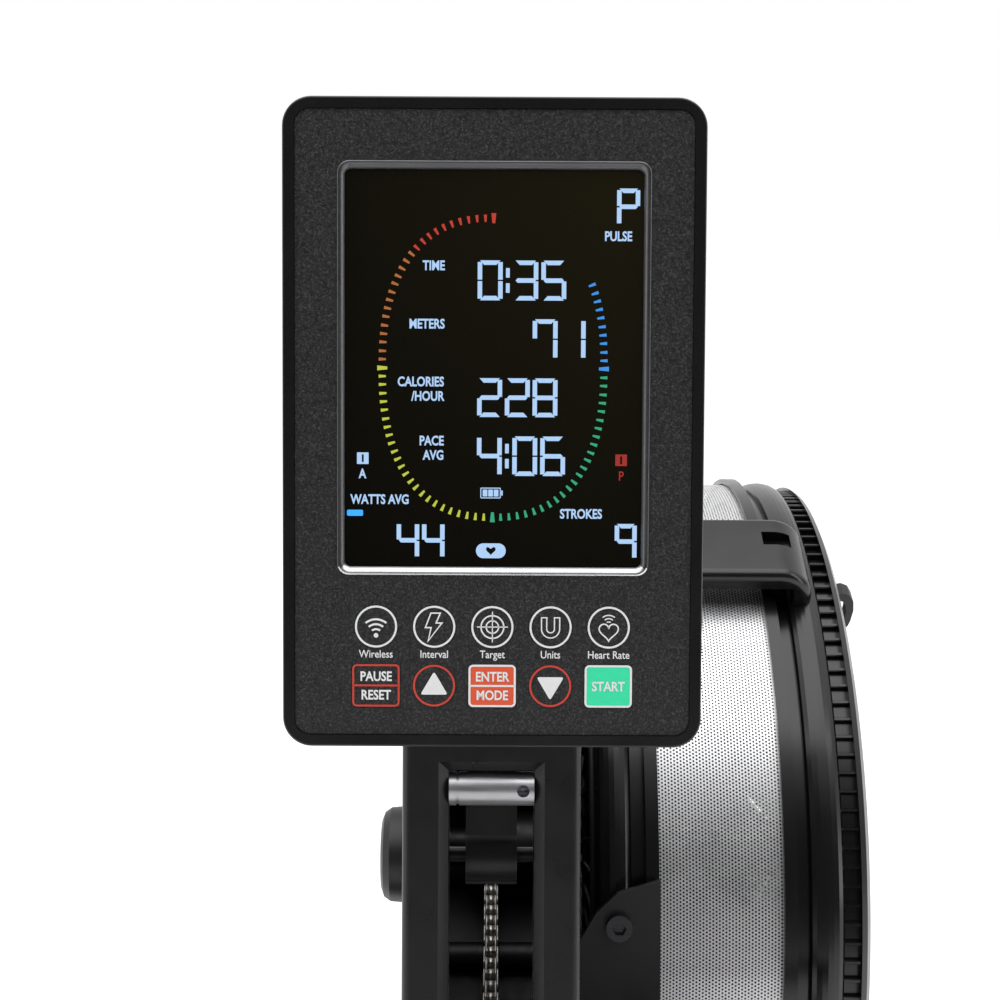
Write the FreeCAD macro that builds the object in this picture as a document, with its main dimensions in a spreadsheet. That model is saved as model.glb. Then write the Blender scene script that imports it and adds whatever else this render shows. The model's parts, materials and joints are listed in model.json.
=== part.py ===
"""Air rowing machine: chain-driven fan in a perforated cage, sliding seat on a rail, display on an arm.

Row frame, millimetres: +X is the rower's right, +Y points from the seat to the fan, +Z is up.
The origin is on the floor, under the middle of the machine.
Every driving dimension is a cell of the sheet "Dims"; features are bound to the cells by expressions.
"""

import FreeCAD
import Part
import math
import os
import re

import Sketcher
from FreeCAD import Placement, Rotation, Vector

DIMENSIONS = """
lean                15     lean of the neck from the vertical, degrees
neck_y             543     foot of the neck's face, along the rail
neck_z             290     foot of the neck's face, height
neck_length        425     neck from foot to top, along the lean
neck_depth         105     neck from face to front edge
neck_half           46.5   half of the neck's width
plate_outer         42     outer face of each frame plate from the middle
plate_thick          4     steel of the frame plates
plate_corner        14     frame plates' outer corners
fit_gap              0.3   gap left between pieces that only sit side by side
cover_front          6     neck cover's face wall
cover_wing          24     depth of the neck cover's side wings
cover_edge           4.5   rounding of the neck cover's front edges
cover_foot          60     neck cover's lower end above the neck's foot
slot_half           22.5   half width of the chain slot
slot_foot          120     lower end of the chain slot
slot_top           362     upper end of the chain slot
slot_bevel           5     bevel round the chain slot
liner_depth         36     depth of the channel liner behind the slot
liner_wall           2.5   channel liner's wall
cross_tube_y       351.5   cross tube, along the neck
cross_tube_in       10.5   cross tube's axis behind the neck's face
cross_tube_r         8.9   cross tube's radius
cross_hole_r         3.2   radius of the hole in the cross tube
cross_hole_x        16.8   place of the hole in the cross tube
fan_y              950     fan axle, along the rail
fan_z              440     fan axle, height
cage_x0             62     left face of the fan cage
cage_r             266     radius of the covers' outer bands
left_band           19     width of the left cover's outer band
groove_wide          8     groove between band and flange
groove_deep          6     depth of that groove
flange_wide          7.5   flange that holds the mesh
flange_high          3     flange's height over the band
mesh_wide           72     mesh between the flanges
mesh_r             265     outer radius of the mesh
mesh_thick           1.2   sheet of the mesh
mesh_slip            0.4   clearance round the mesh's edge in the covers
mesh_hold            5.5   mesh edge held in each cover
rim_inner          256     inner radius of the covers' rims
right_band          20     width of the right cover's outer band
vent_wide           10     vent groove on the right cover
vent_deep            9     depth of the vent groove
edge_wide            9     outer edge ring of the right cover
band_crown           4     drop of the covers' crowned bands at their edges
cover_wall           3     side walls of the covers
left_hub_r          40     opening in the left cover for the hub
right_hub_r         34     closed hub of the right cover
spoke_count         24     radial air slots in each side
spoke_slot           9     width of a radial air slot
spoke_inner         70     inner end of a radial air slot
spoke_outer        212     outer end of a radial air slot
axle_r              10     fan axle
axle_slip            0.05  running clearance on every axle
link_end_r           4.2   round ends of the chain's links
clutch_wall          2.2   wall of the one-way clutch's shell
chain_clear          0.137 clearance between the links and the clutch's shell
sleeve_wall          6     wall of the hub sleeve
sleeve_out =chain_pitch/(2*sin(180/teeth))-link_end_r-clutch_wall-chain_clear outer radius of the hub sleeve
sleeve_in  =sleeve_out-sleeve_wall inner radius of the hub sleeve
bearing_wide        12     bearing lands at the sleeve's ends
disc_r             230     flywheel disc
disc_thick           6     flywheel disc's plate
disc_x              98     flywheel disc's left face
blade_count         12     fan blades
blade_wide          88     blade along the axle
blade_inner         60     inner end of a blade
blade_outer        236     outer end of a blade
tie_rod_r          243.5   circle of the cage's tie rods
blade_thick          2.5   blade sheet
damper_gap           1.5   gap between damper plate and side wall
damper_thick         2.5   damper plate
damper_r           240     damper plate's outer radius
lever_angle         70     damper lever at rest, above the level line towards the seat
lever_r            234     radius at which the lever comes out
lever_slot           9     width of the arc slot that the lever runs in
lever_wide          10     lever's stem along the slot
lever_thick          5     lever's stem across the slot
tab_wide            11     lever's finger tab
tab_round            0.9   rounding of the tab's long edges
lever_travel        45     travel of the lever, degrees
chain_pitch         12.7   roller chain's pitch
teeth               14     teeth of the chain sprocket
roller_r             3.9   chain roller
chain_pin_r          1.8   chain pin
pull_links          27     links from the sprocket to the handle
stored_links        95     links stored in the rail with the handle parked
idler_y            640     chain idler, along the rail
idler_r             22     radius of the chain's line round the idler
cord_r               4     shock cord
pulley_r            22     radius of the cord's line round its pulley
chain_run_z        275     chain's line inside the rail
rail_front         600     front end of the rail
rail_top           300     running surface of the rail
rail_high           90     rail from running surface to underside
rail_half           37.7   half width of the rail's head
rail_core           23     half width of the rail's box
rail_head            8     thickness of the rail's head
rail_wall            3     wall of the rail's box
track_thick          1.5   steel running strips
track_half           9     half width of a running strip
track_x             22     middle of a running strip
seat_y            -100     middle of the seat at rest
seat_wheel_r        20     seat wheels
seat_wheel_wide     14     seat wheels' width
seat_base           85     half of the seat's wheelbase
seat_bolt_r          4     seat wheel bolts
seat_high          400     top of the seat
seat_long          250     seat pad front to back
seat_wide          320     seat pad across
seat_thick          46     seat pad
cheek_in            39     inner face of the carriage cheeks
foot_r              25     foot tubes
foot_z              38     foot tubes' height
front_foot_y      1100     front foot tube
front_half         300     half of the front foot's width
spine_y            735     upper end of the front leg's spine
spine_z            292     upper end of the front leg's spine, height
rear_foot_y      -1120     rear foot tube
rear_half          260     half of the rear foot's width
tube_wall            2     steel tube walls
cap_wide            45     rubber feet along the tube
cap_high            66     rubber feet's height
wheel_r             34     transport wheels
wheel_wide          22     transport wheels' width
wheel_x            226     middle of a transport wheel
wheel_y           1163     transport wheels' axle
wheel_z             45     transport wheels' axle height
heel_y             375     lower end of the foot plates
heel_z             225     lower end of the foot plates, height
foot_slope          42     slope of the foot plates, degrees
foot_long          310     foot plates' length
foot_inner          56     inner side of the foot plates
foot_wide          112     foot plates' width
foot_thick           6     foot plates' sheet
strap_rise          60     arch of the foot straps over the plates
strap_y            205     lower edge of the foot straps up the plates
strap_wide          38     webbing of the foot straps
bar_r               12     footrest crossbars
low_bar_y          580     lower footrest crossbar
low_bar_z          318     lower footrest crossbar
high_bar_y         612     upper footrest crossbar
high_bar_z         375     upper footrest crossbar
pivot_y            307     monitor arm's pivot, along the neck
pivot_in            55     monitor arm's pivot behind the neck's face
knob_shaft           4     shaft of the arm knob
arm_half            14     half width of the monitor arm
arm_thick           20     thickness of the monitor arm
knob_r              26     arm knob
knob_thick          17.5   arm knob
monitor_y          435     middle of the monitor's face
monitor_z          867.5   middle of the monitor's face
monitor_tilt        12     tilt of the monitor's face, degrees
monitor_wide       152     monitor across
monitor_high       234     monitor top to bottom
monitor_corner      10.5   monitor's corners
bezel_wide           4.3   visible ring of the bezel
bezel_lip            3     ledge inside the bezel that the keypad panel lies on
bezel_deep          12     bezel's depth
panel_drop           0.6   keypad panel below the bezel's front
panel_thick          2     keypad panel
panel_slip           0.15  gap round the keypad panel
panel_corner         5.4   keypad panel's corners
window_wide        112.7   display window across
window_high        148.7   display window top to bottom
window_corner        4.3   display window's corners
window_y            20     middle of the display window above the monitor's middle
glass_thick          4     display module
shell_deep          26     monitor's back shell
shell_wall           2.5   monitor's back shell wall
tilt_y             -20     tilt hinge below the monitor's middle
tilt_in             52     tilt hinge behind the monitor's face
key_pitch           21.1   keys from middle to middle
key_r                7.9   round keys
key_wide            17.6   square keys across
key_high            15.8   square keys top to bottom
key_gap              0.12  gap round each key
key_row_a          -73.4   upper row of keys
key_row_b          -94.9   lower row of keys
grip_r              16     handle grips
handle_r            11     handle bar
handle_out          24     handle bar's axis in front of the neck's face
grab_angle          66     grab handle's place round the cage, degrees
grab_tall           56     grab handle round the cage
grab_rise           24     grab handle's height over the bands
grab_thick          12     grab handle's section
grab_corner         22     grab handle's upper bends
grab_edge            5.5   rounding of the grab handle's edges
bracket_gap         13.3   gap between the drum bracket's face and the cage's bands
bracket_in =(fan_y-neck_y)*cos(lean)-(fan_z-neck_z)*sin(lean)-cage_r-bracket_gap drum bracket's depth
web_thick            3     closing plate between the frame plates
"""

doc = FreeCAD.newDocument("rower")
sheet = doc.addObject("Spreadsheet::Sheet", "Dims")
for row, line in enumerate(DIMENSIONS.strip().splitlines(), start=1):
    alias, value, meaning = line.split(None, 2)
    sheet.set(f"A{row}", meaning)
    sheet.set(f"B{row}", value)
    sheet.setAlias(f"B{row}", alias)
doc.recompute()

NODES = []
X_AXIS = Vector(1, 0, 0)
WORD = re.compile(r"\b([a-z][a-z0-9_]*)\b(?!\()")


# ---------------------------------------------------------------- helpers


def dim(alias):
    """A driving dimension's value."""
    return float(getattr(sheet, alias))


def bound(text):
    """An expression in dimension names, as FreeCAD wants it."""
    return WORD.sub(r"Dims.\1", str(text))


def value(text):
    """An expression's value, for geometry that needs a starting guess."""
    names = {word: dim(word) for word in WORD.findall(str(text))}
    turns = {
        "sin": lambda d: math.sin(math.radians(d)),
        "cos": lambda d: math.cos(math.radians(d)),
        "tan": lambda d: math.tan(math.radians(d)),
        "atan": lambda v: math.degrees(math.atan(v)),
        "sqrt": math.sqrt,
    }
    return float(calculate(str(text).replace("^", "**"), {**names, **turns}))


def calculate(text, names):
    """Arithmetic on names, numbers and the functions above, by a small recursive reader."""
    tokens = re.findall(r"\d+\.?\d*|[a-z][a-z0-9_]*|\*\*|[-+*/()]", text)
    place = [0]

    def peek():
        return tokens[place[0]] if place[0] < len(tokens) else None

    def take():
        place[0] += 1
        return tokens[place[0] - 1]

    def atom():
        token = take()
        if token == "-":
            return -power()
        if token == "(":
            inner = total()
            take()
            return inner
        if token[0].isdigit():
            return float(token)
        if peek() == "(":
            take()
            inner = total()
            take()
            return names[token](inner)
        return names[token]

    def power():
        base = atom()
        if peek() == "**":
            take()
            return base ** power()
        return base

    def product():
        result = power()
        while peek() in ("*", "/"):
            result = result * power() if take() == "*" else result / power()
        return result

    def total():
        result = product()
        while peek() in ("+", "-"):
            result = result + product() if take() == "+" else result - product()
        return result

    return total()


def bind(thing, **properties):
    """Binds properties to expressions; a double underscore stands for a dot."""
    for name, text in properties.items():
        thing.setExpression(name.replace("__", "."), bound(text))
    return thing


def at(thing, x="0", y="0", z="0"):
    """Places a thing at a point of the row frame."""
    return bind(thing, Placement__Base__x=x, Placement__Base__y=y, Placement__Base__z=z)


def tilted(base_y, base_z, angle):
    """A frame whose own y climbs a face that leans by angle, and whose own z leaves that face."""

    def point(y, z):
        return (
            f"{base_y} + ({y})*sin({angle}) - ({z})*cos({angle})",
            f"{base_z} + ({y})*cos({angle}) + ({z})*sin({angle})",
        )

    return {"point": point, "angle": angle}


NECK = tilted("neck_y", "neck_z", "lean")
MONITOR = tilted("monitor_y", "monitor_z", "monitor_tilt")
GRAB = tilted("fan_y", "fan_z", "grab_angle")
SOLE = tilted("heel_y", "heel_z", "(90 - foot_slope)")


def seated(thing, frame, x="0", y="0", z="0"):
    """Places a thing in a tilted frame, turned with it."""
    thing.Placement = Placement(Vector(), Rotation(X_AXIS, 90 - value(frame["angle"])))
    thing.setExpression("Placement.Rotation.Angle", bound(f"90 - {frame['angle']}"))
    world_y, world_z = frame["point"](y, z)
    return at(thing, x, world_y, world_z)


def box(name, wide, long, high):
    return bind(doc.addObject("Part::Box", name), Length=wide, Width=long, Height=high)


def rod(name, radius, length, axis="X"):
    """A cylinder from its placement's point along a row axis."""
    thing = bind(doc.addObject("Part::Cylinder", name), Radius=radius, Height=length)
    turn = {"X": Rotation(Vector(0, 1, 0), 90), "Y": Rotation(X_AXIS, -90), "Z": Rotation()}
    thing.Placement = Placement(Vector(), turn[axis])
    return thing


def cut(name, base, *tools):
    """A base less its tools."""
    tool = tools[0] if len(tools) == 1 else join(name + "_tools", *tools)
    thing = doc.addObject("Part::Cut", name)
    thing.Base, thing.Tool = base, tool
    thing.Refine = True
    return thing


def join(name, *parts):
    """Parts welded into one solid."""
    thing = doc.addObject("Part::MultiFuse", name)
    thing.Shapes = list(parts)
    thing.Refine = True
    return thing


def group(name, *parts):
    """Separate solids that share a node."""
    thing = doc.addObject("Part::Compound", name)
    thing.Links = list(parts)
    return thing


def rounded(name, base, radius, wanted):
    """Rounds the edges of a base that wanted(edge) picks."""
    doc.recompute()
    thing = doc.addObject("Part::Fillet", name)
    thing.Base = base
    picked = [i + 1 for i, edge in enumerate(base.Shape.Edges) if wanted(edge)]
    thing.Edges = [(i, value(radius), value(radius)) for i in picked]
    return thing


def along(direction):
    """Picks straight edges along a direction."""
    line = Vector(*direction)

    def wanted(edge):
        if edge.Curve.TypeId != "Part::GeomLine":
            return False
        run = edge.tangentAt(edge.FirstParameter)
        return abs(abs(run.dot(line)) - 1) < 1e-6

    return wanted


def keep(label, thing):
    """Marks a finished sub-part; the label names its node."""
    thing.Label = label
    NODES.append(thing)
    return thing


def body(name):
    return doc.addObject("PartDesign::Body", name)


def sketch(owner, plane, name):
    """An empty sketch on one of a body's own planes."""
    thing = owner.newObject("Sketcher::SketchObject", name)
    face = [f for f in owner.Origin.OriginFeatures if f.Role == plane][0]
    thing.AttachmentSupport = (face, [""])
    thing.MapMode = "FlatFace"
    return thing


def outline(drawing, points):
    """A closed outline through points given as pairs of expressions, each bound to the sheet."""
    first = drawing.GeometryCount
    places = [Vector(value(x), value(y), 0) for x, y in points]
    count = len(points)
    for i in range(count):
        drawing.addGeometry(Part.LineSegment(places[i], places[(i + 1) % count]), False)
    for i in range(count):
        drawing.addConstraint(Sketcher.Constraint("Coincident", first + i, 2, first + (i + 1) % count, 1))
    for i, (x, y) in enumerate(points):
        for kind, text, guess in (("DistanceX", x, places[i].x), ("DistanceY", y, places[i].y)):
            k = drawing.addConstraint(Sketcher.Constraint(kind, -1, 1, first + i, 1, guess))
            drawing.setExpression(f"Constraints[{k}]", bound(text))
    return drawing


def ring(drawing, x, y, radius):
    """A circle whose centre and radius are bound to the sheet."""
    place = Vector(value(x), value(y), 0)
    i = drawing.addGeometry(Part.Circle(place, Vector(0, 0, 1), value(radius)), False)
    for kind, text, guess in (("DistanceX", x, place.x), ("DistanceY", y, place.y)):
        k = drawing.addConstraint(Sketcher.Constraint(kind, -1, 1, i, 3, guess))
        drawing.setExpression(f"Constraints[{k}]", bound(text))
    k = drawing.addConstraint(Sketcher.Constraint("Radius", i, value(radius)))
    drawing.setExpression(f"Constraints[{k}]", bound(radius))
    return drawing


def rectangle(half_x, half_y, x="0", y="0"):
    """The corners of a rectangle about a point."""
    signs = ((-1, -1), (1, -1), (1, 1), (-1, 1))
    return [(f"{x} + {i}*({half_x})", f"{y} + {j}*({half_y})") for i, j in signs]


def pad(owner, drawing, length, midplane=False, back=False):
    thing = owner.newObject("PartDesign::Pad", drawing.Name + "_pad")
    thing.Profile = drawing
    thing.Midplane = midplane
    thing.Reversed = back
    bind(thing, Length=length)
    doc.recompute()
    return thing


def pocket(owner, drawing, length=None, midplane=False, back=False):
    thing = owner.newObject("PartDesign::Pocket", drawing.Name + "_cut")
    thing.Profile = drawing
    thing.Midplane = midplane
    thing.Reversed = back
    if length is None:
        thing.Type = "ThroughAll"
    else:
        bind(thing, Length=length)
    doc.recompute()
    return thing


def soften(owner, base, radius, wanted, kind="Fillet"):
    """A fillet or chamfer in a body, on the edges that wanted(edge) picks."""
    thing = owner.newObject("PartDesign::" + kind, base.Name + "_" + kind.lower())
    picked = [f"Edge{i + 1}" for i, edge in enumerate(base.Shape.Edges) if wanted(edge)]
    thing.Base = (base, picked)
    bind(thing, **{"Radius" if kind == "Fillet" else "Size": radius})
    doc.recompute()
    return thing


def around(owner, feature, axis_role, count):
    """Repeats a feature evenly round one of the body's axes."""
    thing = owner.newObject("PartDesign::PolarPattern", feature.Name + "_round")
    axis = [f for f in owner.Origin.OriginFeatures if f.Role == axis_role][0]
    thing.Originals = [feature]
    thing.Axis = (axis, [""])
    thing.Angle = 360
    bind(thing, Occurrences=count)
    owner.Tip = thing
    doc.recompute()
    return thing


def extruded(name, points, length, plane="XY_Plane", midplane=False, back=False):
    """A body padded from one outline, and its pad."""
    owner = body(name)
    drawing = outline(sketch(owner, plane, name + "_outline"), points)
    return owner, pad(owner, drawing, length, midplane, back)


def turned(name, points):
    """A body turned about its own X axis from (x, radius) points."""
    owner = body(name)
    drawing = outline(sketch(owner, "XY_Plane", name + "_outline"), points)
    thing = owner.newObject("PartDesign::Revolution", name + "_turn")
    thing.Profile = drawing
    thing.ReferenceAxis = (drawing, ["H_Axis"])
    thing.Angle = 360
    doc.recompute()
    return owner


def edge_box(edge):
    return edge.BoundBox


# ---------------------------------------------------------------- frame and neck

RAIL_FOOT = "rail_top - rail_high"
SPROCKET_R = "chain_pitch/(2*sin(180/teeth))"


def neck_point(y, z):
    return NECK["point"](y, z)


def frame_plate(name, x):
    """A steel side plate, from the rail's front end up the neck and out to the fan axle."""
    rear_y, rear_z = neck_point("-75", "-cover_front - fit_gap")
    points = [
        (rear_y, rear_z),
        neck_point("neck_length - cover_front", "-cover_front - fit_gap"),
        neck_point("neck_length - cover_front", "-neck_depth"),
        ("fan_y - 10", "fan_z + 74"),
        ("fan_y + 46", "fan_z + 40"),
        ("fan_y + 46", "fan_z - 44"),
        ("fan_y - 30", "fan_z - 84"),
        ("fan_y - 190", f"{RAIL_FOOT} - 4"),
        (rear_y, f"{RAIL_FOOT} - 4"),
    ]
    owner, plate = extruded(name, points, "plate_thick", "YZ_Plane")
    front = dim("neck_y") + 60
    soften(owner, plate, "plate_corner", lambda e: along((1, 0, 0))(e) and edge_box(e).YMax > front)
    holes = sketch(owner, "YZ_Plane", name + "_holes")
    ring(holes, "fan_y", "fan_z", "axle_r" if x.startswith("-") else "sleeve_out + 2")
    ring(holes, *neck_point("pivot_y", "-pivot_in"), "knob_shaft + axle_slip")
    ring(holes, "low_bar_y", "low_bar_z", "bar_r")
    ring(holes, "high_bar_y", "high_bar_z", "bar_r")
    hole = pocket(owner, holes, "plate_thick", back=True)
    owner.Tip = hole
    return keep(name, at(owner, x))


def neck_cover():
    """A moulded cover on the neck's face, with a bevelled slot and a channel for the chain."""
    owner = body("neck_cover")
    face = outline(
        sketch(owner, "XY_Plane", "cover_face"),
        [
            ("-neck_half", "cover_foot"),
            ("neck_half", "cover_foot"),
            ("neck_half", "neck_length"),
            ("-neck_half", "neck_length"),
        ],
    )
    block = pad(owner, face, "cover_wing", back=True)
    soften(owner, block, "cover_edge", lambda e: along((0, 1, 0))(e) and abs(edge_box(e).ZMax) < 1e-3)
    hollow = outline(
        sketch(owner, "XY_Plane", "cover_hollow"),
        [
            ("-plate_outer - fit_gap", "cover_foot - 1"),
            ("plate_outer + fit_gap", "cover_foot - 1"),
            ("plate_outer + fit_gap", "neck_length - cover_front + fit_gap"),
            ("-plate_outer - fit_gap", "neck_length - cover_front + fit_gap"),
        ],
    )
    bind(hollow, AttachmentOffset__Base__z="-cover_front")
    pocket(owner, hollow, "cover_wing")
    liner = sketch(owner, "XY_Plane", "cover_liner")
    bind(liner, AttachmentOffset__Base__z="-cover_front")
    outline(
        liner,
        [
            ("-slot_half - liner_wall", "slot_foot - liner_wall"),
            ("slot_half + liner_wall", "slot_foot - liner_wall"),
            ("slot_half + liner_wall", "slot_top + liner_wall"),
            ("-slot_half - liner_wall", "slot_top + liner_wall"),
        ],
    )
    pad(owner, liner, "liner_depth - cover_front", back=True)
    mouth = outline(
        sketch(owner, "XY_Plane", "cover_slot"),
        [
            ("-slot_half", "slot_foot"),
            ("slot_half", "slot_foot"),
            ("slot_half", "slot_top"),
            ("-slot_half", "slot_top"),
        ],
    )
    through = pocket(owner, mouth, "liner_depth + 1")

    def slot_rim(edge):
        spot = edge_box(edge)
        inside = spot.XMax < dim("slot_half") + 1 and spot.XMin > -dim("slot_half") - 1
        return inside and abs(spot.ZMax) < 1e-3 and abs(spot.ZMin) < 1e-3

    soften(owner, through, "slot_bevel", slot_rim, "Chamfer")
    return keep("neck_cover", seated(owner, NECK))


def neck_cross_tube():
    """A plated tube across the top of the chain slot, with a grub screw hole and an end collar."""
    blank = rod("cross_blank", "cross_tube_r", "2*slot_half - 2*fit_gap")
    seated_y, seated_z = neck_point("cross_tube_y", "-cross_tube_in")
    at(blank, "-slot_half + fit_gap", seated_y, seated_z)
    bore = at(rod("cross_bore", "4.5", "2*slot_half"), "-slot_half", seated_y, seated_z)
    neck = cut(
        "cross_groove",
        at(rod("cross_groove_out", "cross_tube_r + 1", "1.4"), "-slot_half + 4", seated_y, seated_z),
        at(rod("cross_groove_in", "cross_tube_r - 0.8", "1.4"), "-slot_half + 4", seated_y, seated_z),
    )
    hole = seated(
        rod("cross_hole", "cross_hole_r", "cross_tube_r + 1", "Z"),
        NECK,
        "cross_hole_x - fit_gap",
        "cross_tube_y",
        "-cross_tube_in",
    )
    return keep("neck_cross_tube", cut("neck_cross_tube", blank, bore, neck, hole))


SPACERS = {
    "top": neck_point("slot_foot + 10", "-neck_depth + 20"),
    "nose": ("fan_y - 40", "fan_z - 70"),
    "belly": ("fan_y - 205", f"{RAIL_FOOT} + 22"),
}


def bent_sheet(line, thick):
    """The closed outline of a bent sheet; the line is its inner face, walked with the sheet on its right."""
    spots = [Vector(value(y), value(z), 0) for y, z in line]
    normals = []
    for a, b in zip(spots, spots[1:]):
        step = (b - a).normalize()
        normals.append(Vector(step.y, -step.x, 0))
    outer = []
    for spot, before, after in zip(spots, [normals[0], *normals], [*normals, normals[-1]]):
        outer.append(spot + (before + after) * (value(thick) / (1 + before.dot(after))))
    return [(spot.x, spot.y) for spot in [*spots, *reversed(outer)]]


def frame_web():
    """The bent plate that closes the frame's front between the two side plates."""
    line = [
        ("fan_y - 122", f"{RAIL_FOOT} + 63"),
        ("fan_y - 31", "fan_z - 78"),
        ("fan_y + 38", "fan_z - 41"),
        ("fan_y + 38", "fan_z + 36"),
        ("fan_y - 12", "fan_z + 66"),
    ]
    gap = "2*(plate_outer - plate_thick)"
    owner, _ = extruded("frame_web", bent_sheet(line, "web_thick"), gap, "YZ_Plane", True)
    return owner


def frame_cross_tubes():
    """Spacer tubes and a web that hold the plates apart, and the two footrest crossbars through them."""
    gap = "2*(plate_outer - plate_thick)"
    tubes = []
    for name, (y, z) in SPACERS.items():
        outer = at(rod(name + "_spacer_out", "9", gap), f"-{gap}/2", y, z)
        inner = at(rod(name + "_spacer_in", "5", gap), f"-{gap}/2", y, z)
        tubes.append(cut(name + "_spacer", outer, inner))
    for name in ("low_bar", "high_bar"):
        reach = "2*(foot_inner + foot_wide - 8)"
        outer = at(rod(name + "_out", "bar_r", reach), f"-({reach})/2", name + "_y", name + "_z")
        inner = at(rod(name + "_in", "bar_r - tube_wall", reach), f"-({reach})/2", name + "_y", name + "_z")
        tubes.append(cut(name, outer, inner))
    return keep("frame_cross_tubes", group("frame_cross_tubes", *tubes, frame_web()))


HANDLE_Y = "((fan_z + " + SPROCKET_R + " - neck_z - handle_out*sin(lean))/cos(lean))"


def rest_floor(z):
    """Height along the neck of the level ledge under the parked handle, at z out of the neck's face."""
    return f"{HANDLE_Y} - (handle_r + fit_gap)/cos(lean) - (({z}) - handle_out)*tan(lean)"


def handle_rests():
    """Two rubber rests on the neck's face; the cord holds the parked handle against them."""
    rests = []
    back, lip = "(handle_out - handle_r - fit_gap)", "(handle_out + 8)"
    for name, side in (("left", "-41"), ("right", "27")):
        points = [
            ("0", f"{rest_floor('0')} - 12"),
            (lip, f"{rest_floor(lip)} - 7"),
            (lip, rest_floor(lip)),
            (back, rest_floor(back)),
            (back, f"{HANDLE_Y} + 9"),
            ("0", f"{HANDLE_Y} + 12"),
        ]
        owner = body(name + "_rest")
        drawing = sketch(owner, "YZ_Plane", name + "_rest_outline")
        outline(drawing, [(y, z) for z, y in points])
        pad(owner, drawing, "14")
        rests.append(seated(owner, NECK, side))
    return keep("handle_rests", group("handle_rests", *rests))


def strut(name, start, end, wide, thick):
    """A hollow rectangular tube between two points of the YZ plane, centred on X = 0."""
    (y0, z0), (y1, z1) = start, end
    length = f"sqrt((({y1}) - ({y0}))^2 + (({z1}) - ({z0}))^2)"
    slope = f"atan((({z1}) - ({z0}))/(({y1}) - ({y0})))"
    shells = []
    for part, trim in (("out", "0"), ("in", "tube_wall")):
        thing = box(f"{name}_{part}", f"{wide} - 2*{trim}", length, f"{thick} - 2*{trim}")
        thing.Placement = Placement(Vector(), Rotation(X_AXIS, value(slope)))
        thing.setExpression("Placement.Rotation.Angle", bound(slope))
        half = f"({thick}/2 - {trim})"
        at(thing, f"-({wide})/2 + {trim}", f"{y0} + {half}*sin({slope})", f"{z0} - {half}*cos({slope})")
        shells.append(thing)
    return shells


def front_leg():
    """The welded front leg: spine, transverse foot tube and wheel ears."""
    wide = "2*(plate_outer - plate_thick - fit_gap)"
    spine, hollow = strut("spine", ("spine_y", "spine_z"), ("front_foot_y", "foot_z"), wide, "44")
    half = "(front_half - cap_wide + 20)"
    foot = at(rod("front_foot_out", "foot_r", f"2*{half}"), f"-{half}", "front_foot_y", "foot_z")
    bore = at(rod("front_foot_in", "foot_r - tube_wall", f"2*{half}"), f"-{half}", "front_foot_y", "foot_z")
    ears = []
    for i, x in enumerate(("-wheel_x - 18", "-wheel_x + 14", "wheel_x - 18", "wheel_x + 14")):
        ear = box(f"ear_{i}", "4", "wheel_y - front_foot_y + 14", "30")
        ears.append(at(ear, x, "front_foot_y", "wheel_z - 15"))
    solid = join("front_leg_solid", spine, foot, *ears)
    holes = at(rod("wheel_bolt_hole", "5", "2*wheel_x + 60"), "-wheel_x - 30", "wheel_y", "wheel_z")
    return keep("front_leg", cut("front_leg", solid, hollow, bore, holes))


def rear_leg():
    """The welded rear leg: saddle under the rail, post and transverse foot tube."""
    saddle = at(box("saddle", "60", "130", "5"), "-30", "rear_foot_y - 65", f"{RAIL_FOOT} - 5")
    post = at(box("post_out", "44", "60", f"{RAIL_FOOT} - 5 - foot_z"), "-22", "rear_foot_y - 30", "foot_z")
    hollow = at(
        box("post_in", "44 - 2*tube_wall", "60 - 2*tube_wall", f"{RAIL_FOOT} - 5 - foot_z"),
        "-22 + tube_wall",
        "rear_foot_y - 30 + tube_wall",
        "foot_z",
    )
    half = "(rear_half - cap_wide + 20)"
    foot = at(rod("rear_foot_out", "foot_r", f"2*{half}"), f"-{half}", "rear_foot_y", "foot_z")
    bore = at(rod("rear_foot_in", "foot_r - tube_wall", f"2*{half}"), f"-{half}", "rear_foot_y", "foot_z")
    upper = cut("post", join("rear_leg_solid", saddle, post, foot), bore, hollow)
    return keep("rear_leg", upper)


def foot_caps():
    """Four rubber feet on the ends of the foot tubes; they stand on the floor."""
    caps = []
    for name, y, half in (("front", "front_foot_y", "front_half"), ("rear", "rear_foot_y", "rear_half")):
        for side, x in (("left", f"-{half}"), ("right", f"{half} - cap_wide")):
            block = box(f"{name}_{side}_block", "cap_wide", "cap_high", "cap_high")
            at(block, x, f"{y} - cap_high/2")
            smooth = rounded(f"{name}_{side}_round", block, "9", along((1, 0, 0)))
            inner = "20 + fit_gap"
            start = f"-{half} + cap_wide - ({inner})" if side == "left" else f"{half} - cap_wide - fit_gap"
            seat = at(rod(f"{name}_{side}_seat", "foot_r", "20 + 2*fit_gap"), start, y, "foot_z")
            caps.append(cut(f"{name}_{side}_cap", smooth, seat))
    return keep("foot_caps", group("foot_caps", *caps))


# ---------------------------------------------------------------- rail

RAIL_REAR = "-(fan_y + cage_r + flange_high) + 5"


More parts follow.
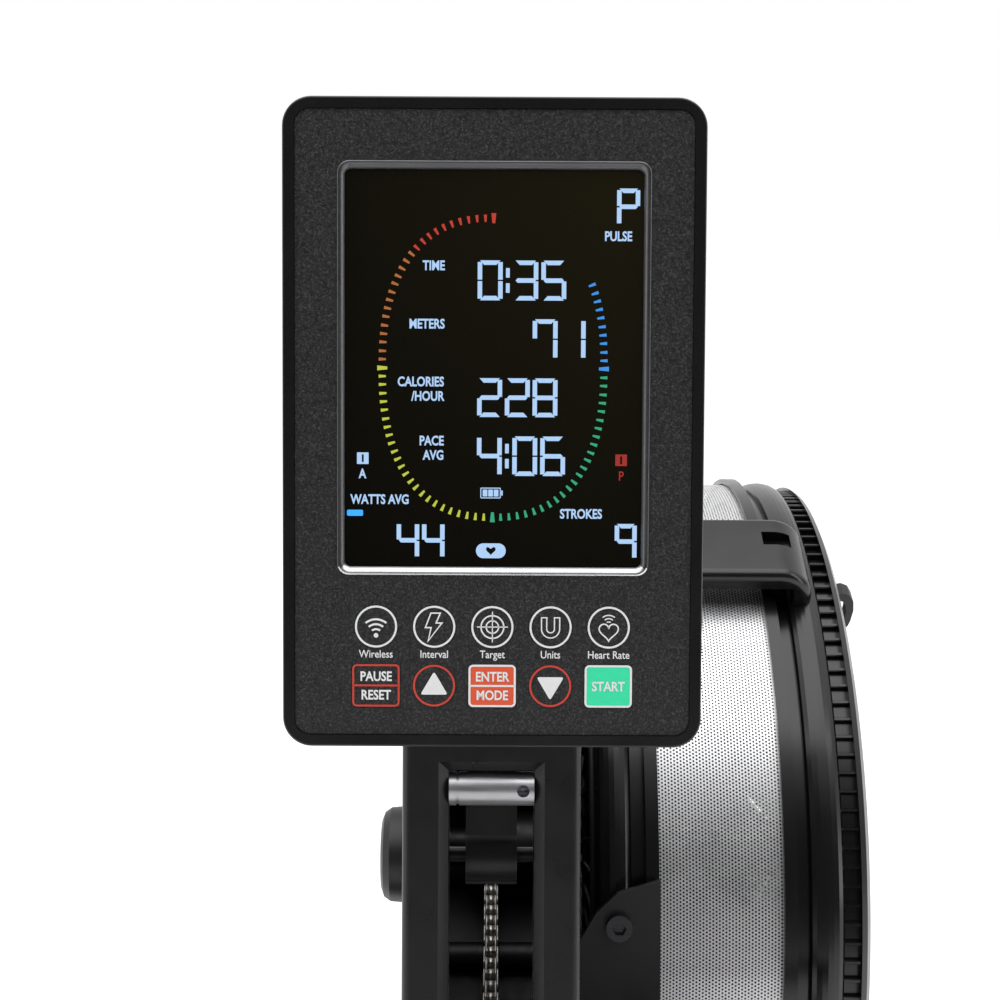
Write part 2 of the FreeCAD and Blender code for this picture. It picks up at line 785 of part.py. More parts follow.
def rail():
    """The extruded rail: a box with a wide head, hollow for the chain and the shock cord."""
    owner = body("rail")
    top = "rail_top - track_thick"
    drawing = sketch(owner, "XZ_Plane", "rail_section")
    foot = f"{RAIL_FOOT}"
    outline(
        drawing,
        [
            ("-rail_half", top),
            ("-rail_half", f"{top} - rail_head"),
            ("-rail_core", f"{top} - rail_head"),
            ("-rail_core", f"{foot} + 6"),
            ("-rail_core - 5", f"{foot} + 6"),
            ("-rail_core - 5", foot),
            ("rail_core + 5", foot),
            ("rail_core + 5", f"{foot} + 6"),
            ("rail_core", f"{foot} + 6"),
            ("rail_core", f"{top} - rail_head"),
            ("rail_half", f"{top} - rail_head"),
            ("rail_half", top),
        ],
    )
    inner = "rail_core - rail_wall"
    outline(
        drawing,
        [
            (f"-({inner})", f"{foot} + rail_wall"),
            (inner, f"{foot} + rail_wall"),
            (inner, f"{top} - rail_wall"),
            (f"-({inner})", f"{top} - rail_wall"),
        ],
    )
    pad(owner, drawing, f"rail_front - ({RAIL_REAR})")
    return keep("rail", at(owner, "0", "rail_front"))


def rail_tracks():
    """Two stainless running strips on the rail's head."""
    strips = []
    for name, x in (("left", "-track_x - track_half"), ("right", "track_x - track_half")):
        strip = box(name + "_track", "2*track_half", f"neck_y - 60 - ({RAIL_REAR}) - 12", "track_thick")
        strips.append(at(strip, x, f"{RAIL_REAR} + 12", "rail_top - track_thick"))
    return keep("rail_tracks", group("rail_tracks", *strips))


def rail_stops():
    """The rail's rear end cap and two rubber seat stops."""
    cap = box("end_cap_block", "2*rail_half + 6", "5", "rail_high + 6")
    at(cap, "-rail_half - 3", f"{RAIL_REAR} - 5", f"{RAIL_FOOT} - 3")
    smooth = rounded("end_cap", cap, "7", along((0, 1, 0)))
    stops = [smooth]
    for name, y in (("rear", f"{RAIL_REAR} + 14"), ("front", "heel_y - 45")):
        stop = at(box(name + "_stop", "22", "16", "20"), "-11", y, "rail_top - track_thick")
        stops.append(rounded(name + "_stop_round", stop, "4", along((1, 0, 0))))
    return keep("rail_stops", group("rail_stops", *stops))


# ---------------------------------------------------------------- fan cage

MESH_X0 = "(cage_x0 + left_band + groove_wide + flange_wide)"
MESH_X1 = f"({MESH_X0} + mesh_wide)"
CAGE_X1 = f"({MESH_X1} + flange_wide + groove_wide + right_band + vent_wide + edge_wide)"
FAN_CENTRE = {"y": "fan_y", "z": "fan_z"}


def flange_points(edge, sign):
    """The rebate that holds the mesh's edge, from the flange's foot inwards; sign is the way to the mesh."""
    inward = f"{edge} - {sign}*mesh_hold - {sign}*mesh_slip"
    return [
        (edge, "cage_r + flange_high"),
        (edge, "mesh_r + mesh_slip"),
        (inward, "mesh_r + mesh_slip"),
        (inward, "mesh_r - mesh_thick - mesh_slip"),
        (f"{edge} - {sign}*1", "mesh_r - mesh_thick - mesh_slip"),
        (f"{edge} - {sign}*1", "rim_inner"),
    ]


def crowned(start, wide):
    """The crowned outside of a band, from its left edge to its right edge."""
    half = ((0, 1), (0.06, 0.62), (0.18, 0.27), (0.34, 0.07), (0.5, 0))
    shape = [*half, *((1 - share, drop) for share, drop in reversed(half[:-1]))]
    return [(f"{start} + {share}*({wide})", f"cage_r - {drop}*band_crown") for share, drop in shape]


def spokes(owner, name, x, depth, wide, back):
    """Radial air slots round a side wall, cut along X from x."""
    drawing = sketch(owner, "YZ_Plane", name + "_slot")
    bind(drawing, AttachmentOffset__Base__z=x)
    half = "(spoke_outer - spoke_inner)/2"
    outline(drawing, rectangle(f"({wide})/2", half, "0", "(spoke_inner + spoke_outer)/2"))
    slot = pocket(owner, drawing, depth, back=back)
    return around(owner, slot, "X_Axis", "spoke_count")


def left_fan_cover():
    """The cage's left cover: side wall with air slots, outer band, groove and mesh flange."""
    band = "cage_x0 + left_band"
    points = [
        ("cage_x0", "left_hub_r"),
        *crowned("cage_x0", "left_band"),
        (band, "cage_r - groove_deep"),
        (f"{band} + groove_wide", "cage_r - groove_deep"),
        (f"{band} + groove_wide", "cage_r + flange_high"),
        *flange_points(MESH_X0, 1),
        ("cage_x0 + cover_wall", "rim_inner"),
        ("cage_x0 + cover_wall", "left_hub_r"),
    ]
    owner = turned("left_fan_cover", points)
    spokes(owner, "left", "cage_x0 - 1", "cover_wall + 2", "spoke_slot", True)
    return keep("left_fan_cover", at(owner, "0", **FAN_CENTRE))


def right_fan_cover():
    """The cage's right cover: flange, band, vent groove and edge ring, with slots for air and lever."""
    band = f"{MESH_X1} + flange_wide + groove_wide"
    vent = f"{band} + right_band"
    edge = f"{vent} + vent_wide"
    points = [
        *reversed(flange_points(MESH_X1, -1)),
        (f"{MESH_X1} + flange_wide", "cage_r + flange_high"),
        (f"{MESH_X1} + flange_wide", "cage_r - groove_deep"),
        (band, "cage_r - groove_deep"),
        *crowned(band, "right_band"),
        (vent, "cage_r - vent_deep"),
        (edge, "cage_r - vent_deep"),
        (edge, "cage_r - 3"),
        (f"{edge} + 0.4*edge_wide", "cage_r - 5.5"),
        (f"{edge} + 0.78*edge_wide", "cage_r - 13"),
        (CAGE_X1, "cage_r - 23"),
        (CAGE_X1, "axle_r + 0.3"),
        (f"{CAGE_X1} - 9", "axle_r + 0.3"),
        (f"{CAGE_X1} - 9", "right_hub_r"),
        (f"{CAGE_X1} - cover_wall", "right_hub_r"),
        (f"{CAGE_X1} - cover_wall", "cage_r - 19"),
        (f"{edge} - 2", "rim_inner - 4"),
        (f"{MESH_X1} + 1", "rim_inner - 4"),
    ]
    owner = turned("right_fan_cover", points)
    arc = sketch(owner, "YZ_Plane", "lever_arc")
    bind(arc, AttachmentOffset__Base__z=f"{CAGE_X1} + 1")
    lever_arc(arc)
    pocket(owner, arc, "cover_wall + 2")
    spokes(owner, "right", f"{CAGE_X1} + 1", "cover_wall + 2", "spoke_slot", False)
    return keep("right_fan_cover", at(owner, "0", **FAN_CENTRE))


def lever_arc(drawing):
    """The curved slot that the damper lever runs in."""
    outer, inner = dim("lever_r") + dim("lever_slot") / 2, dim("lever_r") - dim("lever_slot") / 2
    margin = math.degrees((dim("lever_wide") / 2 + 9) / dim("lever_r"))
    low = 180 - dim("lever_angle") - dim("lever_travel") - margin
    high = 180 - dim("lever_angle") + margin
    ends = [math.radians(low), math.radians(high)]

    def spot(radius, angle):
        return Vector(radius * math.cos(angle), radius * math.sin(angle), 0)

    for radius in (outer, inner):
        drawing.addGeometry(Part.ArcOfCircle(Part.Circle(Vector(), Vector(0, 0, 1), radius), *ends), False)
    for angle in ends:
        drawing.addGeometry(Part.LineSegment(spot(inner, angle), spot(outer, angle)), False)


def fan_mesh_ring():
    """The perforated sheet that closes the cage between the covers."""
    start = f"{MESH_X0} - mesh_hold"
    length = "mesh_wide + 2*mesh_hold"
    outer = at(rod("mesh_out", "mesh_r", length), start, **FAN_CENTRE)
    inner = at(rod("mesh_in", "mesh_r - mesh_thick", length), start, **FAN_CENTRE)
    return keep("fan_mesh_ring", cut("fan_mesh_ring", outer, inner))


def cage_grab_handle():
    """A flattened grab handle that bridges the mesh, near the top of the cage, with a finger recess."""
    owner = body("grab_bar")
    drawing = sketch(owner, "XZ_Plane", "grab_outline")
    left, right = "(cage_x0 + 5)", f"({MESH_X1} + flange_wide + groove_wide + right_band - 5.5)"
    foot = "cage_r - 12"
    top = "(cage_r + grab_rise)"
    outline(
        drawing,
        [
            (left, foot),
            (f"{left} + grab_thick", foot),
            (f"{left} + grab_thick", f"{top} - grab_thick"),
            (f"{right} - grab_thick", f"{top} - grab_thick"),
            (f"{right} - grab_thick", foot),
            (right, foot),
            (right, top),
            (left, top),
        ],
    )
    bar = pad(owner, drawing, "grab_tall", midplane=True)
    high = value(top) - 0.5
    corners = soften(owner, bar, "grab_corner", lambda e: along((0, 1, 0))(e) and edge_box(e).ZMin > high)

    def rim(edge):
        spot = edge_box(edge)
        return abs(spot.YMax - spot.YMin) < 1e-3 and spot.ZMax > high

    soften(owner, corners, "grab_edge", rim)
    recess = sketch(owner, "XY_Plane", "grab_recess")
    bind(recess, AttachmentOffset__Base__z=top)
    slot_x, slot_y = f"{right} - 20", "0.12*grab_tall"
    outline(recess, rectangle("9", "0.11*grab_tall", slot_x, slot_y))
    pocket(owner, recess, "0.6*grab_thick")
    drum = at(rod("grab_drum", "cage_r", "cage_r"), "cage_x0 - 10", **FAN_CENTRE)
    return keep("cage_grab_handle", cut("cage_grab_handle", seated(owner, GRAB), drum))


def drum_bracket():
    """A formed bracket from the right frame plate to the cage's left cover."""
    owner = body("drum_bracket")
    left, right = "plate_outer", f"{MESH_X0} - 1"
    face = outline(
        sketch(owner, "XY_Plane", "bracket_face"),
        [
            (left, "150"),
            (right, "150"),
            (right, "289"),
            (f"{right} - 24", "282"),
            (f"{left} + 17", "270"),
            (f"{left} + 9", "256"),
            (left, "240"),
        ],
    )
    pad(owner, face, "4")
    flange = outline(sketch(owner, "XY_Plane", "bracket_flange"), [
        (left, "150"),
        (f"{left} + 4", "150"),
        (f"{left} + 4", "240"),
        (left, "240"),
    ])
    pad(owner, flange, "40", back=True)
    return keep("drum_bracket", seated(owner, NECK, "0", "0", "-bracket_in"))


# ---------------------------------------------------------------- fan wheel and drive

PULLEY_Y, PULLEY_Z = "rear_foot_y + 20", "chain_run_z - pulley_r"
SLEEVE_X0 = "-16"
SLEEVE_LONG = "218"


def fan_axle():
    """The fixed axle through both frame plates, the hub sleeve and the right cover."""
    length = f"{CAGE_X1} + plate_outer + 24"
    return keep("fan_axle", at(rod("fan_axle", "axle_r", length), "-plate_outer - 14", **FAN_CENTRE))


def hub_sleeve():
    """The sleeve that carries flywheel and fan on bearing lands, inside the sprocket's one-way clutch."""
    end = f"{SLEEVE_X0} + {SLEEVE_LONG}"
    points = [
        (SLEEVE_X0, "sleeve_out"),
        (end, "sleeve_out"),
        (end, "axle_r + axle_slip"),
        (f"{end} - bearing_wide", "axle_r + axle_slip"),
        (f"{end} - bearing_wide", "sleeve_in"),
        (f"{SLEEVE_X0} + bearing_wide", "sleeve_in"),
        (f"{SLEEVE_X0} + bearing_wide", "axle_r + axle_slip"),
        (SLEEVE_X0, "axle_r + axle_slip"),
    ]
    owner = turned("hub_sleeve", points)
    return keep("hub_sleeve", at(owner, "0", **FAN_CENTRE))


def flywheel_disc():
    """The steel flywheel: hub, plate and heavy rim."""
    points = [
        ("disc_x - 10", "sleeve_out"),
        ("disc_x - 10", "48"),
        ("disc_x", "52"),
        ("disc_x", "disc_r - 26"),
        ("disc_x - 8", "disc_r - 22"),
        ("disc_x - 8", "disc_r"),
        ("disc_x + disc_thick", "disc_r"),
        ("disc_x + disc_thick", "sleeve_out"),
    ]
    owner = turned("flywheel_disc", points)
    return keep("flywheel_disc", at(owner, "0", **FAN_CENTRE))


def fan_blades():
    """Straight radial blades on the flywheel's right face."""
    start = "disc_x + disc_thick"
    owner = body("fan_blades")
    blade = outline(
        sketch(owner, "XY_Plane", "blade_outline"),
        [
            (start, "sleeve_out"),
            (f"{start} + 20", "sleeve_out"),
            (f"{start} + blade_wide", "blade_inner + 40"),
            (f"{start} + blade_wide", "blade_outer"),
            (start, "blade_outer - 12"),
        ],
    )
    one = pad(owner, blade, "blade_thick", midplane=True)
    hub = sketch(owner, "YZ_Plane", "blade_hub")
    bind(hub, AttachmentOffset__Base__z=start)
    ring(hub, "0", "0", "sleeve_out + 7")
    ring(hub, "0", "0", "sleeve_out")
    pad(owner, hub, "20")
    around(owner, one, "X_Axis", "blade_count")
    return keep("fan_blades", at(owner, "0", **FAN_CENTRE))


def damper_plate():
    """The damper: a slotted plate behind the right side wall, with a finger lever through the arc slot."""
    face = f"{CAGE_X1} - cover_wall - damper_gap - damper_thick"
    points = [
        (face, "right_hub_r + axle_slip"),
        (face, "damper_r"),
        (f"{face} + damper_thick", "damper_r"),
        (f"{face} + damper_thick", "right_hub_r + axle_slip"),
    ]
    owner = turned("damper_disc", points)
    spokes(owner, "damper", f"{face} - 1", "damper_thick + 2", "spoke_slot + 1", True)
    plate = at(owner, "0", **FAN_CENTRE)
    lever_frame = tilted("fan_y", "fan_z", "lever_angle")
    root = f"{face} + damper_thick"
    bar = box("lever_stem", f"{CAGE_X1} + 3 - ({root})", "lever_wide", "lever_thick")
    stem = seated(bar, lever_frame, root, "-lever_wide/2", "lever_r - lever_thick/2")
    tab_points = [
        (f"{CAGE_X1} + 1", "-4.5"),
        (f"{CAGE_X1} + 5.5", "-5.5"),
        (f"{CAGE_X1} + 10", "-3.5"),
        (f"{CAGE_X1} + 13", "1.5"),
        (f"{CAGE_X1} + 14", "9"),
        (f"{CAGE_X1} + 13", "18"),
        (f"{CAGE_X1} + 11.5", "23"),
        (f"{CAGE_X1} + 8.5", "22.5"),
        (f"{CAGE_X1} + 9.3", "16"),
        (f"{CAGE_X1} + 9.5", "9"),
        (f"{CAGE_X1} + 8.3", "4"),
        (f"{CAGE_X1} + 5.5", "1.2"),
        (f"{CAGE_X1} + 1", "0.6"),
    ]
    tab = body("lever_tab")
    drawing = sketch(tab, "XZ_Plane", "lever_tab_outline")
    outline(drawing, [(x, f"-({z})") for x, z in tab_points])
    hook = pad(tab, drawing, "tab_wide", midplane=True)
    soften(tab, hook, "tab_round", lambda e: along((0, 1, 0))(e) and edge_box(e).XMin > value(CAGE_X1) + 7.7)
    seated(tab, lever_frame, "0", "0", "lever_r")
    return keep("damper_plate", join("damper_plate_whole", plate, stem, tab))


def chain_sprocket():
    """A toothed sprocket on the one-way clutch's shell."""
    blank = at(rod("sprocket_blank", f"{SPROCKET_R} + 3", "3"), "-1.5", **FAN_CENTRE)
    shell = at(rod("clutch_shell", "sleeve_out + clutch_wall", "14"), "-7", **FAN_CENTRE)
    tools = [at(rod("clutch_bore", "sleeve_out + axle_slip", "16"), "-8", **FAN_CENTRE)]
    for i in range(int(dim("teeth"))):
        turn = f"(90 + 360*{i}/teeth)"
        gap = rod(f"tooth_gap_{i}", "roller_r + 0.15", "4")
        flank = rod(f"tooth_flank_{i}", "roller_r + 1.1", "4")
        for tool, radius in ((gap, SPROCKET_R), (flank, f"({SPROCKET_R} + 3)")):
            tools.append(at(tool, "-2", f"fan_y + {radius}*cos({turn})", f"fan_z + {radius}*sin({turn})"))
    return keep("chain_sprocket", cut("chain_sprocket", join("sprocket_solid", blank, shell), *tools))


def grooved_wheel(name, radius, half, bore, y, z):
    """A pulley turned about X with a flat groove for a chain or cord."""
    points = [
        (f"-{half}", bore),
        (f"-{half}", f"{radius} + 3"),
        (f"-{half} + 2", f"{radius} + 3"),
        (f"-{half} + 3", radius),
        (f"{half} - 3", radius),
        (f"{half} - 2", f"{radius} + 3"),
        (half, f"{radius} + 3"),
        (half, bore),
    ]
    return keep(name, at(turned(name, points), "0", y, z))


def link(kind):
    """One chain link about its first pin, along +Y: inner plates with rollers, or outer plates with pins."""
    pitch, roller = dim("chain_pitch"), dim("roller_r")
    near, far = (2.3, 3.4) if kind == "inner" else (3.5, 4.6)
    waist, ends, pin = 2.9, dim("link_end_r"), dim("chain_pin_r")
    pieces = []
    for x in (near, -far):
        for y in (0, pitch):
            pieces.append(Part.makeCylinder(ends, far - near, Vector(x, y, 0), X_AXIS))
        pieces.append(Part.makeBox(far - near, pitch, 2 * waist, Vector(x, 0, -waist)))
    for y in (0, pitch):
        radius, half = (roller, near) if kind == "inner" else (pin, far + 0.3)
        pieces.append(Part.makeCylinder(radius, 2 * half, Vector(-half, y, 0), X_AXIS))
    solid = pieces[0].multiFuse(pieces[1:]).removeSplitter()
    if kind == "inner":
        for y in (0, pitch):
            solid = solid.cut(Part.makeCylinder(pin + 0.1, 20, Vector(-10, y, 0), X_AXIS))
    return solid


def chain(name, pins, first="inner"):
    """Links laid from pin to pin; the kinds alternate."""
    kinds = {"inner": link("inner"), "outer": link("outer")}
    links = []
    for i in range(len(pins) - 1):
        (y0, z0), (y1, z1) = pins[i], pins[i + 1]
        kind = first if i % 2 == 0 else {"inner": "outer", "outer": "inner"}[first]
        turn = Rotation(X_AXIS, math.degrees(math.atan2(z1 - z0, y1 - y0)))
        copy = kinds[kind].copy()
        copy.Placement = Placement(Vector(0, y0, z0), turn)
        links.append(copy)
    thing = doc.addObject("Part::Feature", name)
    thing.Shape = Part.makeCompound(links)
    return keep(name, thing)


def chain_pins():
    """Pin places of the pull strand, and of the stored strand round the sprocket and idler into the rail."""
    pitch, radius = dim("chain_pitch"), value(SPROCKET_R)
    axle = Vector(dim("fan_y"), dim("fan_z"), 0)
    step = 360 / dim("teeth")
    pull = [(axle.x - i * pitch, axle.y + radius) for i in range(int(dim("pull_links")) + 1)]
    wrap = []
    for i in range(7):
        turn = math.radians(90 - i * step)
        wrap.append((axle.x + radius * math.cos(turn), axle.y + radius * math.sin(turn)))
    idler = Vector(dim("idler_y"), dim("chain_run_z") + dim("idler_r"), 0)
    start = Vector(*wrap[-1], 0)
    line = idler - start
    lift = math.asin(dim("idler_r") / line.Length)
    heading = math.atan2(line.y, line.x) + lift
    straight = math.sqrt(line.Length**2 - dim("idler_r") ** 2)
    bend = heading + math.pi if heading < 0 else heading - math.pi
    arc = abs(bend) * dim("idler_r")

    def along_path(s):
        if s < straight:
            return start.x + s * math.cos(heading), start.y + s * math.sin(heading)
        if s < straight + arc:
            turn = -math.pi / 2 + bend - (s - straight) / dim("idler_r") * math.copysign(1, bend)
            return idler.x + dim("idler_r") * math.cos(turn), idler.y + dim("idler_r") * math.sin(turn)
        return idler.x - (s - straight - arc), idler.y - dim("idler_r")

    count = int(dim("stored_links")) + int((straight + arc) / pitch)
    stored = wrap + [along_path(pitch * (i + 1)) for i in range(count)]
    return pull, stored


def shock_cord(stored_end):
    """The elastic cord from the chain's end round the rear pulley to its anchor, all inside the rail."""
    radius, line = dim("cord_r"), dim("pulley_r")
    pulley_y, run = value(PULLEY_Y), dim("chain_run_z")
    rear, forward = Vector(0, pulley_y, run), Vector(0, 1, 0)
    anchor_y = dim("neck_y") - 120
    upper = Part.makeCylinder(radius, stored_end[0] - 20 - pulley_y, rear, forward)
    lower = Part.makeCylinder(radius, anchor_y - pulley_y, rear - Vector(0, 0, 2 * line), forward)
    bend = Part.makeTorus(line, radius, Vector(0, pulley_y, run - line), X_AXIS)
    half = bend.common(Part.makeBox(40, 100, 200, Vector(-20, pulley_y - 100, run - 120)))
    coupling = Part.makeCylinder(6, 24, Vector(0, stored_end[0] - 30, run), forward)
    thing = doc.addObject("Part::Feature", "shock_cord")
    thing.Shape = upper.multiFuse([half, lower, coupling]).removeSplitter()
    return keep("shock_cord", thing)


# ---------------------------------------------------------------- handle


def handle():
    """The pull handle: a bar bent back at both sides, two grips and the yoke that takes the chain."""
    y, z = neck_point(HANDLE_Y, "handle_out")
    middle = at(rod("bar_middle", "handle_r", "104"), "-52", y, z)
    sides, grips = [], []
    for name, sign in (("left", -1), ("right", 1)):
        for kind, radius, start, length in (("bar", "handle_r", 0, 172), ("grip", "grip_r", 22, 152)):
            thing = bind(doc.addObject("Part::Cylinder", f"{name}_{kind}"), Radius=radius, Height=str(length))
            turn = Rotation(Vector(0, 1, 0), 90 * sign).multiply(Rotation(X_AXIS, 10))
            out = turn.multVec(Vector(0, 0, 1))
            thing.Placement = Placement(Vector(), turn)
            at(thing, f"{sign * 52 + out.x * start}", f"{y} + {out.y * start}", f"{z} + {out.z * start}")
            (sides if kind == "bar" else grips).append(thing)
        ball = bind(doc.addObject("Part::Sphere", name + "_bend"), Radius="handle_r")
        sides.append(at(ball, f"{sign * 52}", y, z))
    bar = join("handle_bar_whole", middle, *sides)
    keep("handle_bar", bar)
    bores = []
    for name, sign in (("left", -1), ("right", 1)):
        bore = doc.addObject("Part::Cylinder", name + "_grip_bore")
        bind(bore, Radius="handle_r", Height="172")
        source = doc.getObject(name + "_bar")
        bore.Placement = source.Placement.copy()
        for axis in "xyz":
            text = [e[1] for e in source.ExpressionEngine if e[0].endswith("Base." + axis)][0]
            bore.setExpression("Placement.Base." + axis, text)
        bores.append(bore)
    pair = [cut(f"{n}_grip_sleeve", g, b) for n, g, b in zip(("left", "right"), grips, bores)]
    keep("handle_grips", group("handle_grips", *pair))
    end_y = "fan_y - pull_links*chain_pitch"
    block = at(box("yoke_block", "26", f"{end_y} - ({y}) + 8 + 18", "34"), "-13", f"{y} - 18", f"{z} - 17")
    smooth = rounded("yoke_round", block, "6", along((1, 0, 0)))
    bore = at(rod("yoke_bore", "handle_r", "30"), "-15", y, z)
    fork = at(box("yoke_fork", "10.4", "24", "40"), "-5.2", f"{end_y} - 10", f"{z} - 20")
    pin = at(rod("yoke_pin", "1.8", "26"), "-13", end_y, f"fan_z + {SPROCKET_R}")
    keep("handle_yoke", join("handle_yoke", cut("yoke_body", smooth, bore, fork), pin))


# ---------------------------------------------------------------- footrests


def foot_plate(name, sign):
    """A sloping foot plate with an upturned toe and the ribs that sit on the crossbars."""
    x0 = "foot_inner" if sign > 0 else "-foot_inner - foot_wide"
    plate = seated(box(name + "_sheet", "foot_wide", "foot_long", "foot_thick"), SOLE, x0, "0", "-foot_thick")
    soft = rounded(name + "_corners", plate, "2", lambda e: True)
    rib_owner = body(name + "_rib")
    drawing = sketch(rib_owner, "YZ_Plane", name + "_rib_outline")
    outline(
        drawing,
        [
            ("150", "-foot_thick"),
            ("296", "-foot_thick"),
            ("300", "-66"),
            ("270", "-70"),
            ("225", "-84"),
            ("190", "-84"),
        ],
    )
    pad(rib_owner, drawing, "8", midplane=True)
    middle = f"{sign}*(foot_inner + foot_wide/2)"
    seated(rib_owner, SOLE, middle)
    bars = []
    for bar in ("low_bar", "high_bar"):
        hole = rod(f"{name}_{bar}_hole", "bar_r", "20")
        bars.append(at(hole, f"{middle} - 10", bar + "_y", bar + "_z"))
    return keep(name, cut(name, join(name + "_whole", soft, rib_owner), *bars))


def heel_cup(name, sign):
    """A heel cup that slides along its foot plate: a sole and a curved back."""
    x0 = f"{sign}*(foot_inner + foot_wide/2)"
    owner = body(name)
    sole = outline(sketch(owner, "XY_Plane", name + "_sole"), rectangle("46", "58", "0", "82"))
    base = pad(owner, sole, "3.5")
    soften(owner, base, "16", along((0, 0, 1)))
    wall = sketch(owner, "XY_Plane", name + "_wall")
    outline(
        wall,
        [("-46", "70"), ("-46", "44"), ("-30", "26"), ("30", "26"), ("46", "44"), ("46", "70"),
         ("42", "70"), ("42", "46"), ("28", "30"), ("-28", "30"), ("-42", "46"), ("-42", "70")],
    )
    pad(owner, wall, "52")
    return keep(name, seated(owner, SOLE, x0, "0", "fit_gap"))


def foot_straps():
    """Two webbing straps that arch over the foot plates."""
    loops = []
    frame = Placement(Vector(0, dim("heel_y"), dim("heel_z")), Rotation(X_AXIS, dim("foot_slope")))
    for sign in (-1, 1):
        middle = sign * (dim("foot_inner") + dim("foot_wide") / 2)
        half, rise, thick, wide = dim("foot_wide") / 2 + 4, dim("strap_rise"), 2.2, dim("strap_wide")
        rings = []
        for extra in (0, -thick):
            arch = Part.Ellipse(Vector(half + extra, 0, 0), Vector(0, rise + extra, 0), Vector())
            face = Part.Face(Part.Wire(arch.toShape()))
            rings.append(face.extrude(Vector(0, 0, wide)))
        band = rings[0].cut(rings[1])
        band = band.common(Part.makeBox(400, 200, 100, Vector(-200, -14, -10)))
        band.Placement = Placement(Vector(middle, dim("strap_y") + wide, 0), Rotation(X_AXIS, 90))
        holder = band.copy()
        holder.Placement = frame.multiply(band.Placement)
        loops.append(holder)
    thing = doc.addObject("Part::Feature", "foot_straps")
    thing.Shape = Part.makeCompound(loops)
    return keep("foot_straps", thing)


# ---------------------------------------------------------------- seat


def seat_pad():
    """The moulded seat pad, as a plain closed solid."""
    block = box("seat_block", "seat_wide", "seat_long", "seat_thick")
    at(block, "-seat_wide/2", "seat_y - seat_long/2", "seat_high - seat_thick")
    corners = rounded("seat_corners", block, "60", along((0, 0, 1)))
    doc.recompute()
    top = dim("seat_high")
    return keep("seat_pad", rounded("seat_edge", corners, "14", lambda e: edge_box(e).ZMin > top - 1))


def seat_carriage():
    """The folded steel carriage: a top plate and two cheeks outside the rail's head."""
    top = "seat_high - seat_thick"
    rear, long = "seat_y - seat_base - 25", "2*seat_base + 50"
    plate = at(box("carriage_top", "2*cheek_in + 6", long, "3"), "-cheek_in - 3", rear, f"{top} - 3")
    parts = [plate]
    for name, x in (("left", "-cheek_in - 3"), ("right", "cheek_in")):
        cheek = box(name + "_cheek", "3", long, f"{top} - rail_top + 30")
        parts.append(at(cheek, x, rear, "rail_top - 30"))
    for name, y in (("front_wing", "seat_y + 60"), ("rear_wing", "seat_y - 90")):
        wing = at(box(name, "240", "30", "3"), "-120", y, f"{top} - 3")
        parts.append(wing)
    holes = []
    for i, y in enumerate(("seat_y - seat_base", "seat_y + seat_base")):
        for height, z in (("high", "rail_top + seat_wheel_r"), ("low", GLIDE_Z)):
            bolt = rod(f"carriage_hole_{i}_{height}", "seat_bolt_r", "2*cheek_in + 10")
            holes.append(at(bolt, "-cheek_in - 5", y, z))
    return keep("seat_carriage", cut("seat_carriage", join("carriage_solid", *parts), *holes))


GLIDE_Z = "(rail_top - track_thick - rail_head - 9)"


def seat_axles():
    """Wheel bolts through the cheeks, and four nylon glides on stubs under the rail's head."""
    pieces = []
    for i, y in enumerate(("seat_y - seat_base", "seat_y + seat_base")):
        bolt = rod(f"wheel_bolt_{i}", "seat_bolt_r", "2*cheek_in + 16")
        pieces.append(at(bolt, "-cheek_in - 8", y, "rail_top + seat_wheel_r"))
        sides = (("left", "-rail_half + 1", "-cheek_in - 8"), ("right", "rail_half - 9", "rail_half - 9"))
        for side, x, stub in sides:
            glide = at(rod(f"glide_{i}_{side}", "8", "8"), x, y, GLIDE_Z)
            pin = rod(f"glide_pin_{i}_{side}", "seat_bolt_r", "cheek_in + 17 - rail_half")
            pieces.append(join(f"glide_with_pin_{i}_{side}", glide, at(pin, stub, y, GLIDE_Z)))
    return keep("seat_axles", group("seat_axles", *pieces))


def seat_wheels(name, y):
    """Two seat wheels on one bolt; they roll on the running strips."""
    wheels = []
    for side, x in (("left", "-track_x - seat_wheel_wide/2"), ("right", "track_x - seat_wheel_wide/2")):
        z = "rail_top + seat_wheel_r"
        tyre = at(rod(f"{name}_{side}_tyre", "seat_wheel_r", "seat_wheel_wide"), x, y, z)
        bore = at(rod(f"{name}_{side}_bore", "seat_bolt_r + axle_slip", "seat_wheel_wide"), x, y, z)
        wheels.append(cut(f"{name}_{side}", tyre, bore))
    return keep(name, group(name, *wheels))


def transport_wheel(name, x):
    """A transport wheel at the front foot; it meets the floor when the machine is tipped up."""
    points = [
        ("-wheel_wide/2", "5 + axle_slip"),
        ("-wheel_wide/2", "wheel_r - 4"),
        ("-wheel_wide/2 + 4", "wheel_r"),
        ("wheel_wide/2 - 4", "wheel_r"),
        ("wheel_wide/2", "wheel_r - 4"),
        ("wheel_wide/2", "5 + axle_slip"),
    ]
    return keep(name, at(turned(name, points), x, "wheel_y", "wheel_z"))


# ---------------------------------------------------------------- monitor


def flat_block(name, half_x, half_y, corner, depth):
    """A rounded rectangle in the monitor's plane, padded back from its face."""
    owner, block = extruded(name, rectangle(half_x, half_y), depth, back=True)
    return owner, soften(owner, block, corner, along((0, 0, 1)))


def uprights(half_x, half_y):
    """Picks the edges square to the face that lie within a rectangle about its middle, such as a pocket's."""

    def wanted(edge):
        spot = edge_box(edge)
        across, up = max(-spot.XMin, spot.XMax), max(-spot.YMin, spot.YMax)
        return along((0, 0, 1))(edge) and across < value(half_x) + 0.1 and up < value(half_y) + 0.1

    return wanted


